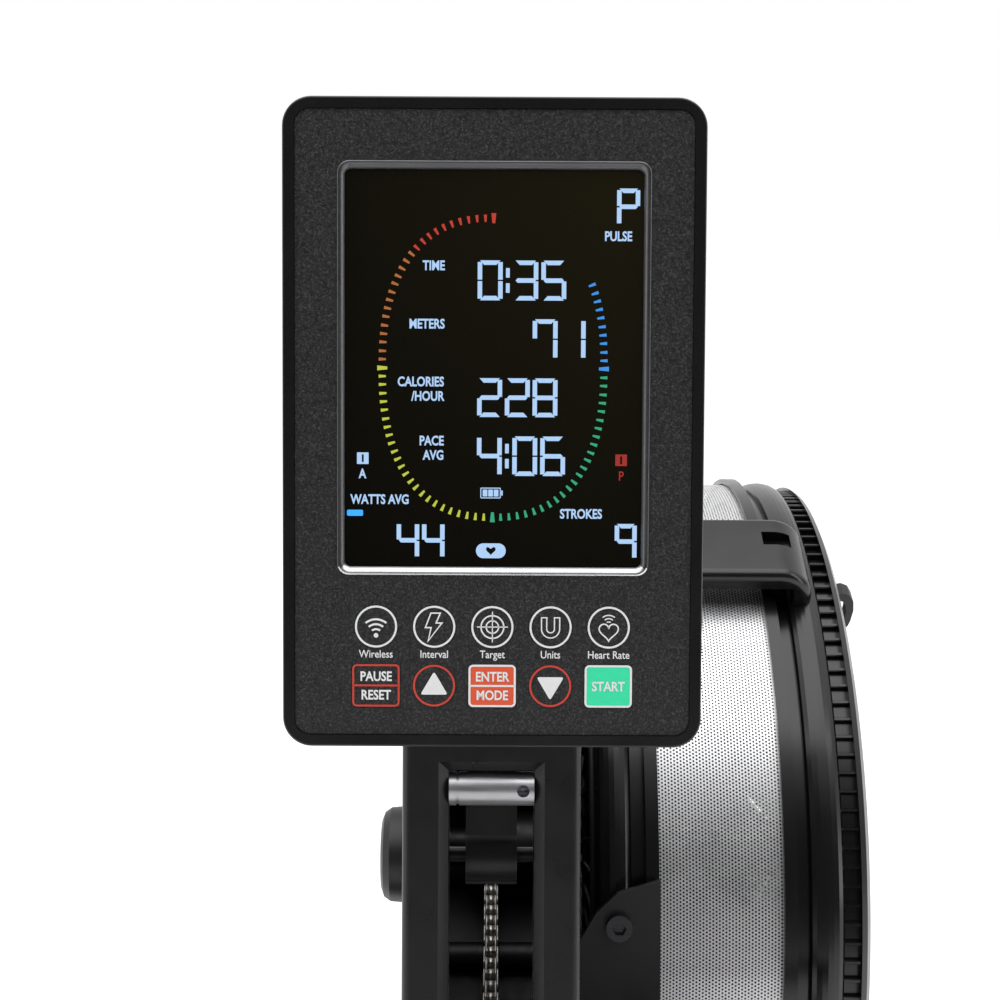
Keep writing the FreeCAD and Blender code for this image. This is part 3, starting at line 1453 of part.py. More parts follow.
def monitor_bezel():
    """The monitor's front frame, with a step for the keypad panel."""
    half_x, half_y = "monitor_wide/2", "monitor_high/2"
    owner, block = flat_block("monitor_bezel", half_x, half_y, "monitor_corner", "bezel_deep")
    soften(owner, block, "0.8", lambda e: abs(edge_box(e).ZMin) < 1e-3)
    mouth_x, mouth_y = f"{half_x} - bezel_wide", f"{half_y} - bezel_wide"
    mouth = outline(sketch(owner, "XY_Plane", "bezel_opening"), rectangle(mouth_x, mouth_y))
    step = pocket(owner, mouth, "panel_drop + panel_thick")
    soften(owner, step, "panel_corner + panel_slip", uprights(mouth_x, mouth_y))
    inner = sketch(owner, "XY_Plane", "bezel_inner")
    outline(inner, rectangle(f"{mouth_x} - bezel_lip", f"{mouth_y} - bezel_lip"))
    pocket(owner, inner)
    return keep("monitor_bezel", seated(owner, MONITOR))


def key_places():
    """Each key's name, place and kind: five round keys over a row of mixed ones."""
    upper = ("wireless_key", "interval_key", "target_key", "units_key", "pulse_key")
    lower = ("pause_key", "up_key", "enter_key", "down_key", "start_key")
    for i in range(5):
        yield upper[i], f"{i - 2}*key_pitch", "key_row_a", "round"
        yield lower[i], f"{i - 2}*key_pitch", "key_row_b", "square" if i % 2 == 0 else "round"


def keypad_panel():
    """The textured front panel, with the display window and an opening for each key."""
    half_x, half_y = (f"monitor_{way}/2 - bezel_wide - panel_slip" for way in ("wide", "high"))
    owner = flat_block("keypad_panel", half_x, half_y, "panel_corner", "panel_thick")[0]
    window = sketch(owner, "XY_Plane", "panel_window")
    outline(window, rectangle("window_wide/2", "window_high/2", "0", "window_y"))
    opening = pocket(owner, window, "panel_thick + 1")
    soften(owner, opening, "window_corner", uprights("window_wide/2", "window_y + window_high/2"))
    holes = sketch(owner, "XY_Plane", "panel_keys")
    for _, x, y, kind in key_places():
        if kind == "round":
            ring(holes, x, y, "key_r + key_gap")
        else:
            outline(holes, rectangle("key_wide/2 + key_gap", "key_high/2 + key_gap", x, y))
    pocket(owner, holes, "panel_thick + 1")
    return keep("keypad_panel", seated(owner, MONITOR, z="-panel_drop"))


def key(name, x, y, kind):
    """One key: its cap is flush with the panel, and a stem reaches back."""
    owner = body(name)
    drawing = sketch(owner, "XY_Plane", name + "_cap")
    if kind == "round":
        ring(drawing, x, y, "key_r")
    else:
        outline(drawing, rectangle("key_wide/2", "key_high/2", x, y))
    pad(owner, drawing, "panel_thick - 0.4", back=True)
    stem = sketch(owner, "XY_Plane", name + "_stem")
    ring(stem, x, y, "2.5")
    pad(owner, stem, "panel_thick + 3", back=True)
    return keep(name, seated(owner, MONITOR, z="-panel_drop"))


def display_module():
    """The display glass with its backlight, clipped behind the window."""
    owner = body("display_module")
    glass = outline(
        sketch(owner, "XY_Plane", "display_outline"),
        rectangle("window_wide/2 + 3", "window_high/2 + 3", "0", "window_y"),
    )
    pad(owner, glass, "glass_thick", back=True)
    return keep("display_module", seated(owner, MONITOR, z="-panel_drop - panel_thick"))


def monitor_shell():
    """The monitor's back shell, hollow, with two hinge lugs."""
    owner = body("monitor_shell")
    half_x, half_y = "monitor_wide/2 - 2.5", "monitor_high/2 - 2.5"
    back = sketch(owner, "XY_Plane", "shell_outline")
    block = pad(owner, outline(back, rectangle(half_x, half_y)), "shell_deep", back=True)
    upright = soften(owner, block, "10", along((0, 0, 1)))
    depth = dim("shell_deep")
    soften(owner, upright, "6", lambda e: abs(edge_box(e).ZMax + depth) < 1e-3)
    inside = sketch(owner, "XY_Plane", "shell_inside")
    outline(inside, rectangle(f"{half_x} - shell_wall - 4", f"{half_y} - shell_wall - 4"))
    pocket(owner, inside, "shell_deep - shell_wall")
    for name, x in (("left", "-arm_half - 7 - fit_gap"), ("right", "arm_half + fit_gap")):
        lug = sketch(owner, "YZ_Plane", name + "_lug")
        bind(lug, AttachmentOffset__Base__z=x)
        deep = "tilt_in - bezel_deep"
        outline(
            lug,
            [
                ("tilt_y - 16", "-shell_deep + 1"),
                ("tilt_y - 9", f"-({deep}) - 9"),
                ("tilt_y + 9", f"-({deep}) - 9"),
                ("tilt_y + 24", "-shell_deep + 1"),
            ],
        )
        pad(owner, lug, "7")
    pin = sketch(owner, "YZ_Plane", "tilt_hole")
    bind(pin, AttachmentOffset__Base__z="-arm_half - 20")
    ring(pin, "tilt_y", "-(tilt_in - bezel_deep)", "4")
    pocket(owner, pin, "2*arm_half + 40", back=True)
    return keep("monitor_shell", seated(owner, MONITOR, z="-bezel_deep"))


def monitor_arm():
    """The bent arm from the neck's pivot to the monitor's tilt hinge, with the hinge pin through its head."""
    foot_y, foot_z = neck_point("pivot_y", "-pivot_in")
    half = "arm_thick/2"
    tilt_y, tilt_z = MONITOR["point"]("tilt_y", "-tilt_in")
    bend_y, bend_z = neck_point("neck_length + 14", "-pivot_in")
    slope = f"atan((({tilt_z}) - ({bend_z}))/(({bend_y}) - ({tilt_y})))"
    across_y, across_z = f"{half}*sin({slope})", f"{half}*cos({slope})"
    points = [
        neck_point("pivot_y - 14", f"-pivot_in + {half}"),
        neck_point("neck_length + 8", f"-pivot_in + {half}"),
        (f"{tilt_y} - {across_y}", f"{tilt_z} - {across_z}"),
        (f"{tilt_y} + {across_y}", f"{tilt_z} + {across_z}"),
        neck_point("neck_length + 26", f"-pivot_in - {half}"),
        neck_point("pivot_y - 14", f"-pivot_in - {half}"),
    ]
    owner, bar = extruded("arm_bar", points, "2*arm_half", "YZ_Plane", midplane=True)
    low = value(tilt_z) - 30

    def bends(edge):
        spot = edge_box(edge)
        return along((1, 0, 0))(edge) and value(foot_z) + 40 < spot.ZMin < low

    soften(owner, bar, "22", bends)
    head = at(rod("arm_head", "arm_thick/2 + 1", "2*arm_half"), "-arm_half", tilt_y, tilt_z)
    foot = at(rod("arm_foot", "arm_thick/2 + 6", "2*arm_half"), "-arm_half", foot_y, foot_z)
    bore = at(rod("arm_bore", "knob_shaft + axle_slip", "60"), "-30", foot_y, foot_z)
    pin = at(rod("tilt_pin", "4 - axle_slip", "2*arm_half + 20"), "-arm_half - 10", tilt_y, tilt_z)
    return keep("monitor_arm", cut("monitor_arm", join("arm_whole", owner, head, foot, pin), bore))


def arm_knob():
    """The clamping knob on the left of the neck, with its shaft through the arm's pivot."""
    y, z = neck_point("pivot_y", "-pivot_in")
    face = "-plate_outer - 0.6"
    points = [
        (f"{face} - knob_thick", "0"),
        (f"{face} - knob_thick", "knob_r - 7"),
        (f"{face} - knob_thick + 1.5", "knob_r - 3"),
        (f"{face} - knob_thick + 5", "knob_r - 0.6"),
        (f"{face} - 6", "knob_r"),
        (face, "knob_r"),
        (face, "knob_shaft"),
        ("plate_outer + 2", "knob_shaft"),
        ("plate_outer + 2", "0"),
    ]
    return keep("arm_knob", at(turned("arm_knob", points), "0", y, z))


# ---------------------------------------------------------------- fasteners


def head(name, x, y, z, radius, thick):
    """A round bolt head along X with a hexagon socket, from x towards its sign."""
    outward = 1 if not x.strip().startswith("-") else -1
    start = x if outward > 0 else f"{x} - {thick}"
    cap = at(rod(name + "_head", radius, thick), start, y, z)
    well = doc.addObject("Part::Prism", name + "_socket")
    well.Polygon = 6
    bind(well, Circumradius=f"0.5*({radius})", Height=f"0.6*({thick})")
    well.Placement = Placement(Vector(), Rotation(Vector(0, 1, 0), 90))
    where = f"{x} + 0.4*({thick})" if outward > 0 else f"{x} - {thick}"
    return cut(name, cap, at(well, where, y, z))


BRACKET_BOLT = ("cage_x0 + 10", "263")


def frame_fasteners():
    """Bolt heads, nuts and tie rods of the frame and the cage, each a separate solid."""
    pieces = []
    spots = {
        **SPACERS,
        "rail_rear": ("rail_front - 50", f"{RAIL_FOOT} + 35"),
        "rail_front": ("rail_front - 15", f"{RAIL_FOOT} + 35"),
        "spine_rear": ("spine_y + 13", "spine_z - 9"),
        "spine_front": ("spine_y + 43", "spine_z - 30"),
    }
    for name, (y, z) in spots.items():
        for side, x in (("left", "-plate_outer"), ("right", "plate_outer")):
            pieces.append(head(f"{name}_{side}", x, y, z, "9", "6"))
    for name, x, radius, thick in (("nut", "-plate_outer - 9", "17", "9"), ("cap", CAGE_X1, "18", "8")):
        outer = at(rod(f"axle_{name}_out", radius, thick), x, **FAN_CENTRE)
        inner = at(rod(f"axle_{name}_in", "axle_r", f"{thick} + 4"), f"{x} - 2", **FAN_CENTRE)
        pieces.append(cut(f"axle_{name}", outer, inner))
    for i in range(6):
        turn = f"(20 + 60*{i})"
        y, z = f"fan_y + tie_rod_r*cos({turn})", f"fan_z + tie_rod_r*sin({turn})"
        length = f"{CAGE_X1} - 2*cover_wall - cage_x0"
        pieces.append(at(rod(f"tie_rod_{i}", "3", length), "cage_x0 + cover_wall", y, z))
    bolt = seated(rod("bracket_bolt_head", "7.4", "5", "Z"), NECK, *BRACKET_BOLT, "-bracket_in + 4")
    well = doc.addObject("Part::Prism", "bracket_bolt_socket")
    well.Polygon = 6
    bind(well, Circumradius="4", Height="6")
    seated(well, NECK, *BRACKET_BOLT, "-bracket_in + 6")
    pieces.append(cut("bracket_bolt", bolt, well))
    boss = seated(rod("bracket_boss_rod", "6", "60", "Z"), NECK, *BRACKET_BOLT, "-bracket_in - 60")
    drum = at(rod("bracket_boss_drum", "cage_r", "60"), "50", **FAN_CENTRE)
    pieces.append(cut("bracket_boss", boss, drum))
    for name, x in (("left", "-wheel_x - 22"), ("right", "wheel_x - 22")):
        pieces.append(at(rod(f"wheel_axle_{name}", "5", "44"), x, "wheel_y", "wheel_z"))
    gap = "2*(plate_outer - plate_thick)"
    pin = rod("idler_pin", "5", gap)
    pieces.append(at(pin, f"-{gap}/2", "idler_y", "chain_run_z + idler_r"))
    inner = "2*(rail_core - rail_wall)"
    pieces.append(at(rod("pulley_pin", "4", inner), "-rail_core + rail_wall", PULLEY_Y, PULLEY_Z))
    return keep("frame_fasteners", group("frame_fasteners", *pieces))


# ---------------------------------------------------------------- assembly


def build():
    frame_plate("left_frame_plate", "-plate_outer")
    frame_plate("right_frame_plate", "plate_outer - plate_thick")
    frame_cross_tubes()
    frame_fasteners()
    neck_cover()
    neck_cross_tube()
    handle_rests()
    front_leg()
    rear_leg()
    foot_caps()
    rail()
    rail_tracks()
    rail_stops()
    left_fan_cover()
    right_fan_cover()
    fan_mesh_ring()
    cage_grab_handle()
    drum_bracket()
    fan_axle()
    hub_sleeve()
    flywheel_disc()
    fan_blades()
    damper_plate()
    chain_sprocket()
    grooved_wheel("chain_idler", "idler_r - 4.4", "9", "5 + axle_slip", "idler_y", "chain_run_z + idler_r")
    grooved_wheel("cord_pulley", "pulley_r - cord_r - fit_gap", "8", "4 + axle_slip", PULLEY_Y, PULLEY_Z)
    pull, stored = chain_pins()
    chain("chain_pull_strand", pull)
    chain("chain_return_strand", stored, "outer")
    shock_cord(stored[-1])
    handle()
    for name, sign in (("left", -1), ("right", 1)):
        foot_plate(name + "_foot_plate", sign)
        heel_cup(name + "_heel_cup", sign)
    foot_straps()
    seat_pad()
    seat_carriage()
    seat_axles()
    seat_wheels("front_seat_wheels", "seat_y + seat_base")
    seat_wheels("rear_seat_wheels", "seat_y - seat_base")
    transport_wheel("left_transport_wheel", "-wheel_x")
    transport_wheel("right_transport_wheel", "wheel_x")
    monitor_bezel()
    keypad_panel()
    for name, x, y, kind in key_places():
        key(name, x, y, kind)
    display_module()
    monitor_shell()
    monitor_arm()
    arm_knob()


def check():
    """Stops on a failed object or an empty or broken shape."""
    doc.recompute()
    failed = [o.Label for o in doc.Objects if {"Invalid", "Error"} & set(o.State)]
    if failed:
        raise SystemExit(f"objects that failed to build: {failed}")
    for thing in NODES:
        shape = thing.Shape
        if shape.isNull() or not shape.isValid() or shape.Volume <= 0 or not shape.Solids:
            raise SystemExit(f"{thing.Label} has no sound solid")


build()
check()
os.makedirs("parts", exist_ok=True)
for thing in NODES:
    thing.Shape.exportStep(f"parts/{thing.Label}.step")
print(len(NODES), "nodes written")
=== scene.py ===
"""Looks of the air rowing machine, round its frame. Metres; +X right, +Y towards the fan, +Z up."""

import json
import math

import bmesh
import bpy
import numpy as np
from mathutils import Matrix, Vector


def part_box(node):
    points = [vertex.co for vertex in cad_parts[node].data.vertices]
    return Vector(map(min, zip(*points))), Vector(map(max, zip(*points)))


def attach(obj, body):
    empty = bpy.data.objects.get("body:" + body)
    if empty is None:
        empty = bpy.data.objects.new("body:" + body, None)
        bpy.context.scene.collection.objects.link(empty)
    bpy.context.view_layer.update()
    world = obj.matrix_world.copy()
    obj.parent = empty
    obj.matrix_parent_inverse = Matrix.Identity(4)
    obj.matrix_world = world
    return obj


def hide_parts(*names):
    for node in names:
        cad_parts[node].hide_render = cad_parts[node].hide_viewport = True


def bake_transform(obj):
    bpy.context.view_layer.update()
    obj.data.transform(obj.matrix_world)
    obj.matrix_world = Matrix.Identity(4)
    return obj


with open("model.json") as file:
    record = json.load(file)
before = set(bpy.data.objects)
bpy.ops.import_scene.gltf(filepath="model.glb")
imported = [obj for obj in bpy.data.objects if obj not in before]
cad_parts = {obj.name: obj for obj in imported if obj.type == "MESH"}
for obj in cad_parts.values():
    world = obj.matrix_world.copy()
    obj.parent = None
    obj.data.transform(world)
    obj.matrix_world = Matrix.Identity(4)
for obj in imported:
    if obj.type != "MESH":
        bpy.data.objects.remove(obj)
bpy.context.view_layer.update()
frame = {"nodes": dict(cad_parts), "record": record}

MM = 0.001
NODES = frame["nodes"]
JOINTS = {joint["name"]: joint for joint in frame["record"]["behaviour"]["joints"]}


# ---------------------------------------------------------------- mesh helpers


def corners(node):
    """Lowest and highest corner of a node's box."""
    low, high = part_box(node)
    return Vector(low), Vector(high)


def middle(node):
    """Centre of a node's box."""
    low, high = corners(node)
    return (low + high) / 2


def piece(name, verts, faces, material, body, smooth=False):
    """A mesh object that rides on a body."""
    mesh = bpy.data.meshes.new(name)
    mesh.from_pydata([tuple(v) for v in verts], [], [tuple(f) for f in faces])
    mesh.update()
    return adopt(name, mesh, material, body, smooth)


def adopt(name, mesh, material, body, smooth=False):
    """Puts a finished mesh in the scene with its material, on its body."""
    thing = bpy.data.objects.new(name, mesh)
    bpy.context.collection.objects.link(thing)
    thing.data.materials.append(material)
    if smooth:
        thing.data.polygons.foreach_set("use_smooth", [True] * len(thing.data.polygons))
    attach(thing, body)
    return thing


def from_bmesh(name, bm, material, body, smooth=False):
    """Adopts a finished bmesh as a piece, with its normals turned outwards."""
    bmesh.ops.recalc_face_normals(bm, faces=bm.faces)
    mesh = bpy.data.meshes.new(name)
    bm.to_mesh(mesh)
    bm.free()
    return adopt(name, mesh, material, body, smooth)


def solid(name, verts, faces, material, body, smooth=False):
    """A closed piece from lists, with its normals turned outwards."""
    bm = bmesh.new()
    made = [bm.verts.new(v) for v in verts]
    for face in faces:
        bm.faces.new([made[i] for i in face])
    return from_bmesh(name, bm, material, body, smooth)


def tube_faces(rings, count, start=0, wrap=False):
    """Quads between neighbouring rings of count points; wrap joins the last ring to the first."""
    faces = []
    for i in range(rings if wrap else rings - 1):
        a, b = start + i * count, start + (i + 1) % rings * count
        for k in range(count):
            n = (k + 1) % count
            faces.append((a + k, a + n, b + n, b + k))
    return faces


def bar_faces(count, start):
    """A closed bar: the quads between its two end loops, and both ends."""
    ends = [tuple(start + k for k in reversed(range(count))), tuple(start + count + k for k in range(count))]
    return tube_faces(2, count, start) + ends


def spoke(turn):
    """Outward and sideways directions round the fan's axis."""
    return Vector((0, math.cos(turn), math.sin(turn))), Vector((0, -math.sin(turn), math.cos(turn)))


def soften(thing, angle=40):
    """Smooth shading that keeps edges sharper than the angle."""
    mesh = thing.data
    mesh.polygons.foreach_set("use_smooth", [True] * len(mesh.polygons))
    mesh.update()
    with bpy.context.temp_override(object=thing, active_object=thing, selected_objects=[thing]):
        bpy.ops.object.shade_smooth_by_angle(angle=math.radians(angle))


def arc(cx, cy, radius, start, end, steps):
    """Points of an arc, in degrees."""
    turns = [math.radians(start + (end - start) * i / steps) for i in range(steps + 1)]
    return [(cx + radius * math.cos(t), cy + radius * math.sin(t)) for t in turns]


def rounded_rectangle(half_x, half_y, radius, steps=6):
    """Outline of a rounded rectangle about the origin, counter-clockwise."""
    points = []
    for sx, sy, start in ((1, 1, 0), (-1, 1, 90), (-1, -1, 180), (1, -1, 270)):
        points += arc(sx * (half_x - radius), sy * (half_y - radius), radius, start, start + 90, steps)
    return points


# ---------------------------------------------------------------- materials


class Shader:
    """A principled material and short ways to add to its node tree."""

    def __init__(self, name, **settings):
        self.material = bpy.data.materials.new(name)
        self.material.use_nodes = True
        self.nodes = self.material.node_tree.nodes
        self.links = self.material.node_tree.links
        self.main = self.nodes["Principled BSDF"]
        for key, value in settings.items():
            self.main.inputs[key.replace("_", " ")].default_value = value

    def node(self, kind, **settings):
        node = self.nodes.new(kind)
        for key, value in settings.items():
            if hasattr(node, key):
                setattr(node, key, value)
            else:
                node.inputs[key.replace("_", " ")].default_value = value
        return node

    def join(self, source, target):
        self.links.new(source, target)

    def place(self, scale=(1, 1, 1), turn=(0, 0, 0)):
        """Object coordinates, in metres, scaled per axis and turned."""
        mapping = self.node("ShaderNodeMapping", Scale=scale, Rotation=turn)
        self.join(self.node("ShaderNodeTexCoord").outputs["Object"], mapping.inputs["Vector"])
        return mapping.outputs["Vector"]

    def noise(self, size, detail=2.0, scale=(1, 1, 1), rough=0.5):
        """Noise whose features are about size metres."""
        node = self.node("ShaderNodeTexNoise", Scale=1 / size, Detail=detail, Roughness=rough)
        self.join(self.place(scale), node.inputs["Vector"])
        return node.outputs["Fac"]

    def span(self, source, low, high, start=0.3, end=0.7):
        """Maps start..end of a factor to low..high."""
        node = self.node("ShaderNodeMapRange")
        for key, value in zip(("From Min", "From Max", "To Min", "To Max"), (start, end, low, high)):
            node.inputs[key].default_value = value
        self.join(source, node.inputs["Value"])
        return node.outputs["Result"]

    def blend(self, factor, first, second):
        """A colour between two colours."""
        node = self.node("ShaderNodeMix", data_type="RGBA")
        for key, value in ((6, first), (7, second)):
            if isinstance(value, tuple):
                node.inputs[key].default_value = (*value, 1)
            else:
                self.join(value, node.inputs[key])
        self.join(factor, node.inputs[0])
        return node.outputs[2]

    def maths(self, operation, first, second=None):
        node = self.node("ShaderNodeMath", operation=operation)
        for i, value in enumerate((first, second)):
            if value is None:
                continue
            if isinstance(value, (int, float)):
                node.inputs[i].default_value = value
            else:
                self.join(value, node.inputs[i])
        return node.outputs[0]

    def colour(self, source):
        self.join(source, self.main.inputs["Base Color"])
        return self

    def rough(self, source):
        self.join(source, self.main.inputs["Roughness"])
        return self

    def bump(self, height, strength=0.3, depth=0.0002):
        node = self.node("ShaderNodeBump", Strength=strength, Distance=depth)
        self.join(height, node.inputs["Height"])
        previous = self.main.inputs["Normal"].links
        if previous:
            self.join(previous[0].from_socket, node.inputs["Normal"])
        self.join(node.outputs["Normal"], self.main.inputs["Normal"])
        return self

    def edge_wear(self, base, worn, amount=0.5, size=0.0015):
        """Lightens worn edges: the bevel normal differs from the face normal there."""
        bevel = self.node("ShaderNodeBevel", samples=4, Radius=size)
        geometry = self.node("ShaderNodeNewGeometry")
        dot = self.node("ShaderNodeVectorMath", operation="DOT_PRODUCT")
        self.join(bevel.outputs["Normal"], dot.inputs[0])
        self.join(geometry.outputs["Normal"], dot.inputs[1])
        edge = self.span(dot.outputs["Value"], amount, 0.0, 0.80, 0.99)
        patches = self.span(self.noise(0.012, 4), 0.2, 1.0)
        return self.blend(self.maths("MULTIPLY", edge, patches), base, worn)


def grained_plastic(name, colour, rough=0.5, grain=0.0006, depth=0.00006, worn=None):
    """Moulded plastic with spark-eroded grain."""
    sh = Shader(name, IOR=1.5)
    tint = sh.blend(sh.noise(0.05, 3), colour, tuple(c * 1.25 + 0.002 for c in colour))
    if worn:
        tint = sh.edge_wear(tint, worn, 0.35)
    sh.colour(tint).rough(sh.span(sh.noise(0.02, 3), rough - 0.05, rough + 0.07))
    return sh.bump(sh.noise(grain, 2), 0.5, depth).material


def glossy_plastic(name, colour, rough=0.16):
    """Glossy moulded plastic with faint waviness and dust."""
    sh = Shader(name, IOR=1.52)
    dust = sh.span(sh.noise(0.0009, 2), 0.0, 0.25, 0.60, 0.80)
    sh.colour(sh.blend(dust, colour, tuple(c + 0.012 for c in colour)))
    sh.rough(sh.span(sh.noise(0.03, 3), rough, rough + 0.08))
    return sh.bump(sh.noise(0.035, 1), 0.15, 0.0004).material


def painted_steel(name, colour, rough=0.38):
    """Powder-coated steel: orange peel and chipped edges."""
    sh = Shader(name, IOR=1.5)
    tint = sh.blend(sh.noise(0.08, 3), colour, tuple(c * 1.3 + 0.002 for c in colour))
    sh.colour(sh.edge_wear(tint, (0.16, 0.16, 0.165), 0.3, 0.0012))
    sh.rough(sh.span(sh.noise(0.006, 3), rough - 0.05, rough + 0.08))
    return sh.bump(sh.noise(0.0016, 2), 0.35, 0.00012).material


def brushed_metal(name, colour, rough=0.3, along=(0.02, 1, 1), metallic=1.0, grain=0.0007):
    """Metal with fine lines along the axis whose scale is small."""
    sh = Shader(name, Metallic=metallic)
    lines = sh.noise(grain, 3, along, 0.6)
    stains = sh.noise(0.03, 4)
    sh.colour(sh.blend(sh.span(stains, 0.0, 0.6), colour, tuple(c * 0.82 for c in colour)))
    sh.rough(sh.maths("ADD", sh.span(lines, -0.05, 0.08), sh.span(stains, rough - 0.04, rough + 0.06)))
    return sh.bump(lines, 0.25, 0.00003).material


def rubber(name, colour=(0.018, 0.018, 0.019), rough=0.72, grain=0.0012):
    """Moulded rubber with a dull pebbled skin."""
    sh = Shader(name, IOR=1.45, Sheen_Weight=0.15, Sheen_Roughness=0.5)
    sh.colour(sh.blend(sh.noise(0.03, 4), colour, tuple(c * 1.6 + 0.004 for c in colour)))
    sh.rough(sh.span(sh.noise(0.01, 3), rough - 0.06, rough + 0.1))
    return sh.bump(sh.noise(grain, 3), 0.4, 0.00012).material


def speckled_panel(name):
    """The keypad overlay: charcoal film with fine lighter speckle and a pebbled surface."""
    sh = Shader(name, IOR=1.5)
    fine = sh.span(sh.noise(0.0008, 2, rough=0.7), 0.0, 1.0, 0.50, 0.74)
    coarse = sh.span(sh.noise(0.0022, 2), 0.0, 0.35, 0.45, 0.8)
    base = sh.blend(fine, (0.006, 0.006, 0.007), (0.060, 0.060, 0.064))
    sh.colour(sh.blend(coarse, base, (0.024, 0.024, 0.026)))
    sh.rough(sh.span(sh.noise(0.0014, 2), 0.36, 0.6))
    return sh.bump(sh.noise(0.0008, 2, rough=0.7), 0.55, 0.00012).material


def printed(name, colour, rough=0.45):
    """Screen-printed ink with slight thickness variation."""
    sh = Shader(name, IOR=1.48)
    sh.colour(sh.blend(sh.noise(0.002, 3), colour, tuple(min(1.0, c * 0.9 + 0.01) for c in colour)))
    sh.rough(sh.span(sh.noise(0.001, 2), rough - 0.06, rough + 0.08))
    return sh.bump(sh.noise(0.0009, 2), 0.25, 0.00004).material


def lit(name, colour, strength):
    """A lit display segment, brighter in its middle cells."""
    sh = Shader(name, Roughness=0.4, Emission_Strength=strength)
    cells = sh.span(sh.noise(0.0012, 2), 0.0, 0.35)
    tint = sh.blend(cells, colour, tuple(c * 0.82 for c in colour))
    sh.join(tint, sh.main.inputs["Emission Color"])
    return sh.colour(sh.blend(cells, (0.01, 0.01, 0.012), (0.02, 0.02, 0.024))).material


def display_glass(name):
    """The dark display: near-black, slightly olive towards its upper right."""
    sh = Shader(name, IOR=1.5, Roughness=0.12, Specular_IOR_Level=0.25)
    low, high = corners("display_module")
    split = sh.node("ShaderNodeSeparateXYZ")
    sh.join(sh.node("ShaderNodeTexCoord").outputs["Object"], split.inputs[0])
    across = sh.span(split.outputs["X"], 0.0, 0.6, low.x, high.x)
    upward = sh.span(split.outputs["Z"], 0.0, 0.6, low.z, high.z)
    glow = sh.maths("MULTIPLY", sh.maths("ADD", across, 0.25), sh.maths("ADD", upward, 0.1))
    sh.colour(sh.blend(glow, (0.002, 0.0018, 0.001), (0.020, 0.016, 0.005)))
    return sh.bump(sh.noise(0.05, 1), 0.05, 0.0002).material


def webbing(name, colour=(0.022, 0.022, 0.024)):
    """Woven strap: ribs across and a fine thread pattern."""
    sh = Shader(name, IOR=1.4, Sheen_Weight=0.3, Sheen_Roughness=0.4)
    ribs = sh.node("ShaderNodeTexWave", Scale=420.0, Distortion=0.6, bands_direction="X")
    sh.join(sh.place(), ribs.inputs["Vector"])
    threads = sh.node("ShaderNodeTexWave", Scale=520.0, Distortion=0.8, bands_direction="Z")
    sh.join(sh.place(), threads.inputs["Vector"])
    weave = sh.maths("MULTIPLY", ribs.outputs["Fac"], threads.outputs["Fac"])
    sh.colour(sh.blend(weave, tuple(c * 0.5 for c in colour), tuple(c * 2.4 for c in colour)))
    sh.rough(sh.span(weave, 0.9, 0.7, 0.0, 1.0))
    return sh.bump(weave, 0.6, 0.0004).material


MATERIALS = {}


def make_materials():
    """Every look of the machine, by its short name."""
    M = MATERIALS
    M["frame"] = painted_steel("powder_coat_black", (0.006, 0.006, 0.0065))
    M["moulded"] = grained_plastic("moulded_black", (0.006, 0.006, 0.0065), 0.42, worn=(0.05, 0.05, 0.055))
    neck = (0.004, 0.004, 0.0045)
    M["neck"] = grained_plastic("neck_black", neck, 0.3, 0.0005, 0.00003, worn=(0.03, 0.03, 0.033))
    M["gloss"] = glossy_plastic("cage_gloss_black", (0.003, 0.003, 0.0035), 0.2)
    M["bezel"] = glossy_plastic("bezel_gloss_black", (0.004, 0.004, 0.0045), 0.2)
    M["plated"] = brushed_metal("zinc_plated", (0.60, 0.60, 0.61), 0.30)
    # painted shade: near-black for the parts inside the neck's slot and the cage, standing in for the shade
    # that falls there
    M["painted_shade_black"] = painted_steel("inner_parts_painted_shade", (0.003, 0.003, 0.0032), 0.5)
    M["bolt"] = brushed_metal("black_zinc", (0.085, 0.085, 0.09), 0.26)
    M["tube"] = brushed_metal("satin_tube", (0.62, 0.62, 0.64), 0.34, (0.03, 1, 1))
    M["rail"] = brushed_metal("anodised_rail", (0.50, 0.51, 0.53), 0.34, (1, 0.015, 1))
    M["track"] = brushed_metal("stainless_track", (0.66, 0.66, 0.67), 0.22, (1, 0.01, 1))
    M["chain"] = brushed_metal("chain_nickel", (0.50, 0.48, 0.45), 0.32, (1, 0.2, 1))
    M["mesh"] = brushed_metal("mesh_silver", (0.86, 0.86, 0.87), 0.40, (0.1, 1, 1))
    # painted highlight: a bright copy of the rim's grey metal, used on its lowest faces
    M["trim"] = brushed_metal("window_trim_painted_highlight", (0.80, 0.80, 0.82), 0.25, (0.05, 1, 1))
    M["trim_dark"] = brushed_metal("window_trim_grey", (0.13, 0.13, 0.135), 0.34, (0.05, 1, 1))
    M["rubber"] = rubber("black_rubber")
    M["seat"] = rubber("seat_skin", (0.016, 0.016, 0.018), 0.6, 0.0025)
    M["grip"] = rubber("grip_rubber", (0.02, 0.02, 0.021), 0.68, 0.0009)
    M["panel"] = speckled_panel("panel_charcoal")
    M["lcd"] = display_glass("display_dark")
    M["webbing"] = webbing("strap_webbing")
    M["cord"] = webbing("cord_braid", (0.03, 0.03, 0.04))
    M["white_wheel"] = grained_plastic("wheel_nylon", (0.55, 0.55, 0.54), 0.4)
    M["white"] = printed("ink_white", (0.86, 0.86, 0.86))
    M["red"] = printed("ink_red", (0.62, 0.055, 0.03))
    M["orange"] = printed("ink_orange", (0.80, 0.10, 0.035))
    M["mint"] = printed("ink_mint", (0.04, 0.83, 0.43))
    M["digit"] = lit("segment_blue_white", (0.46, 0.68, 1.0), 0.95)


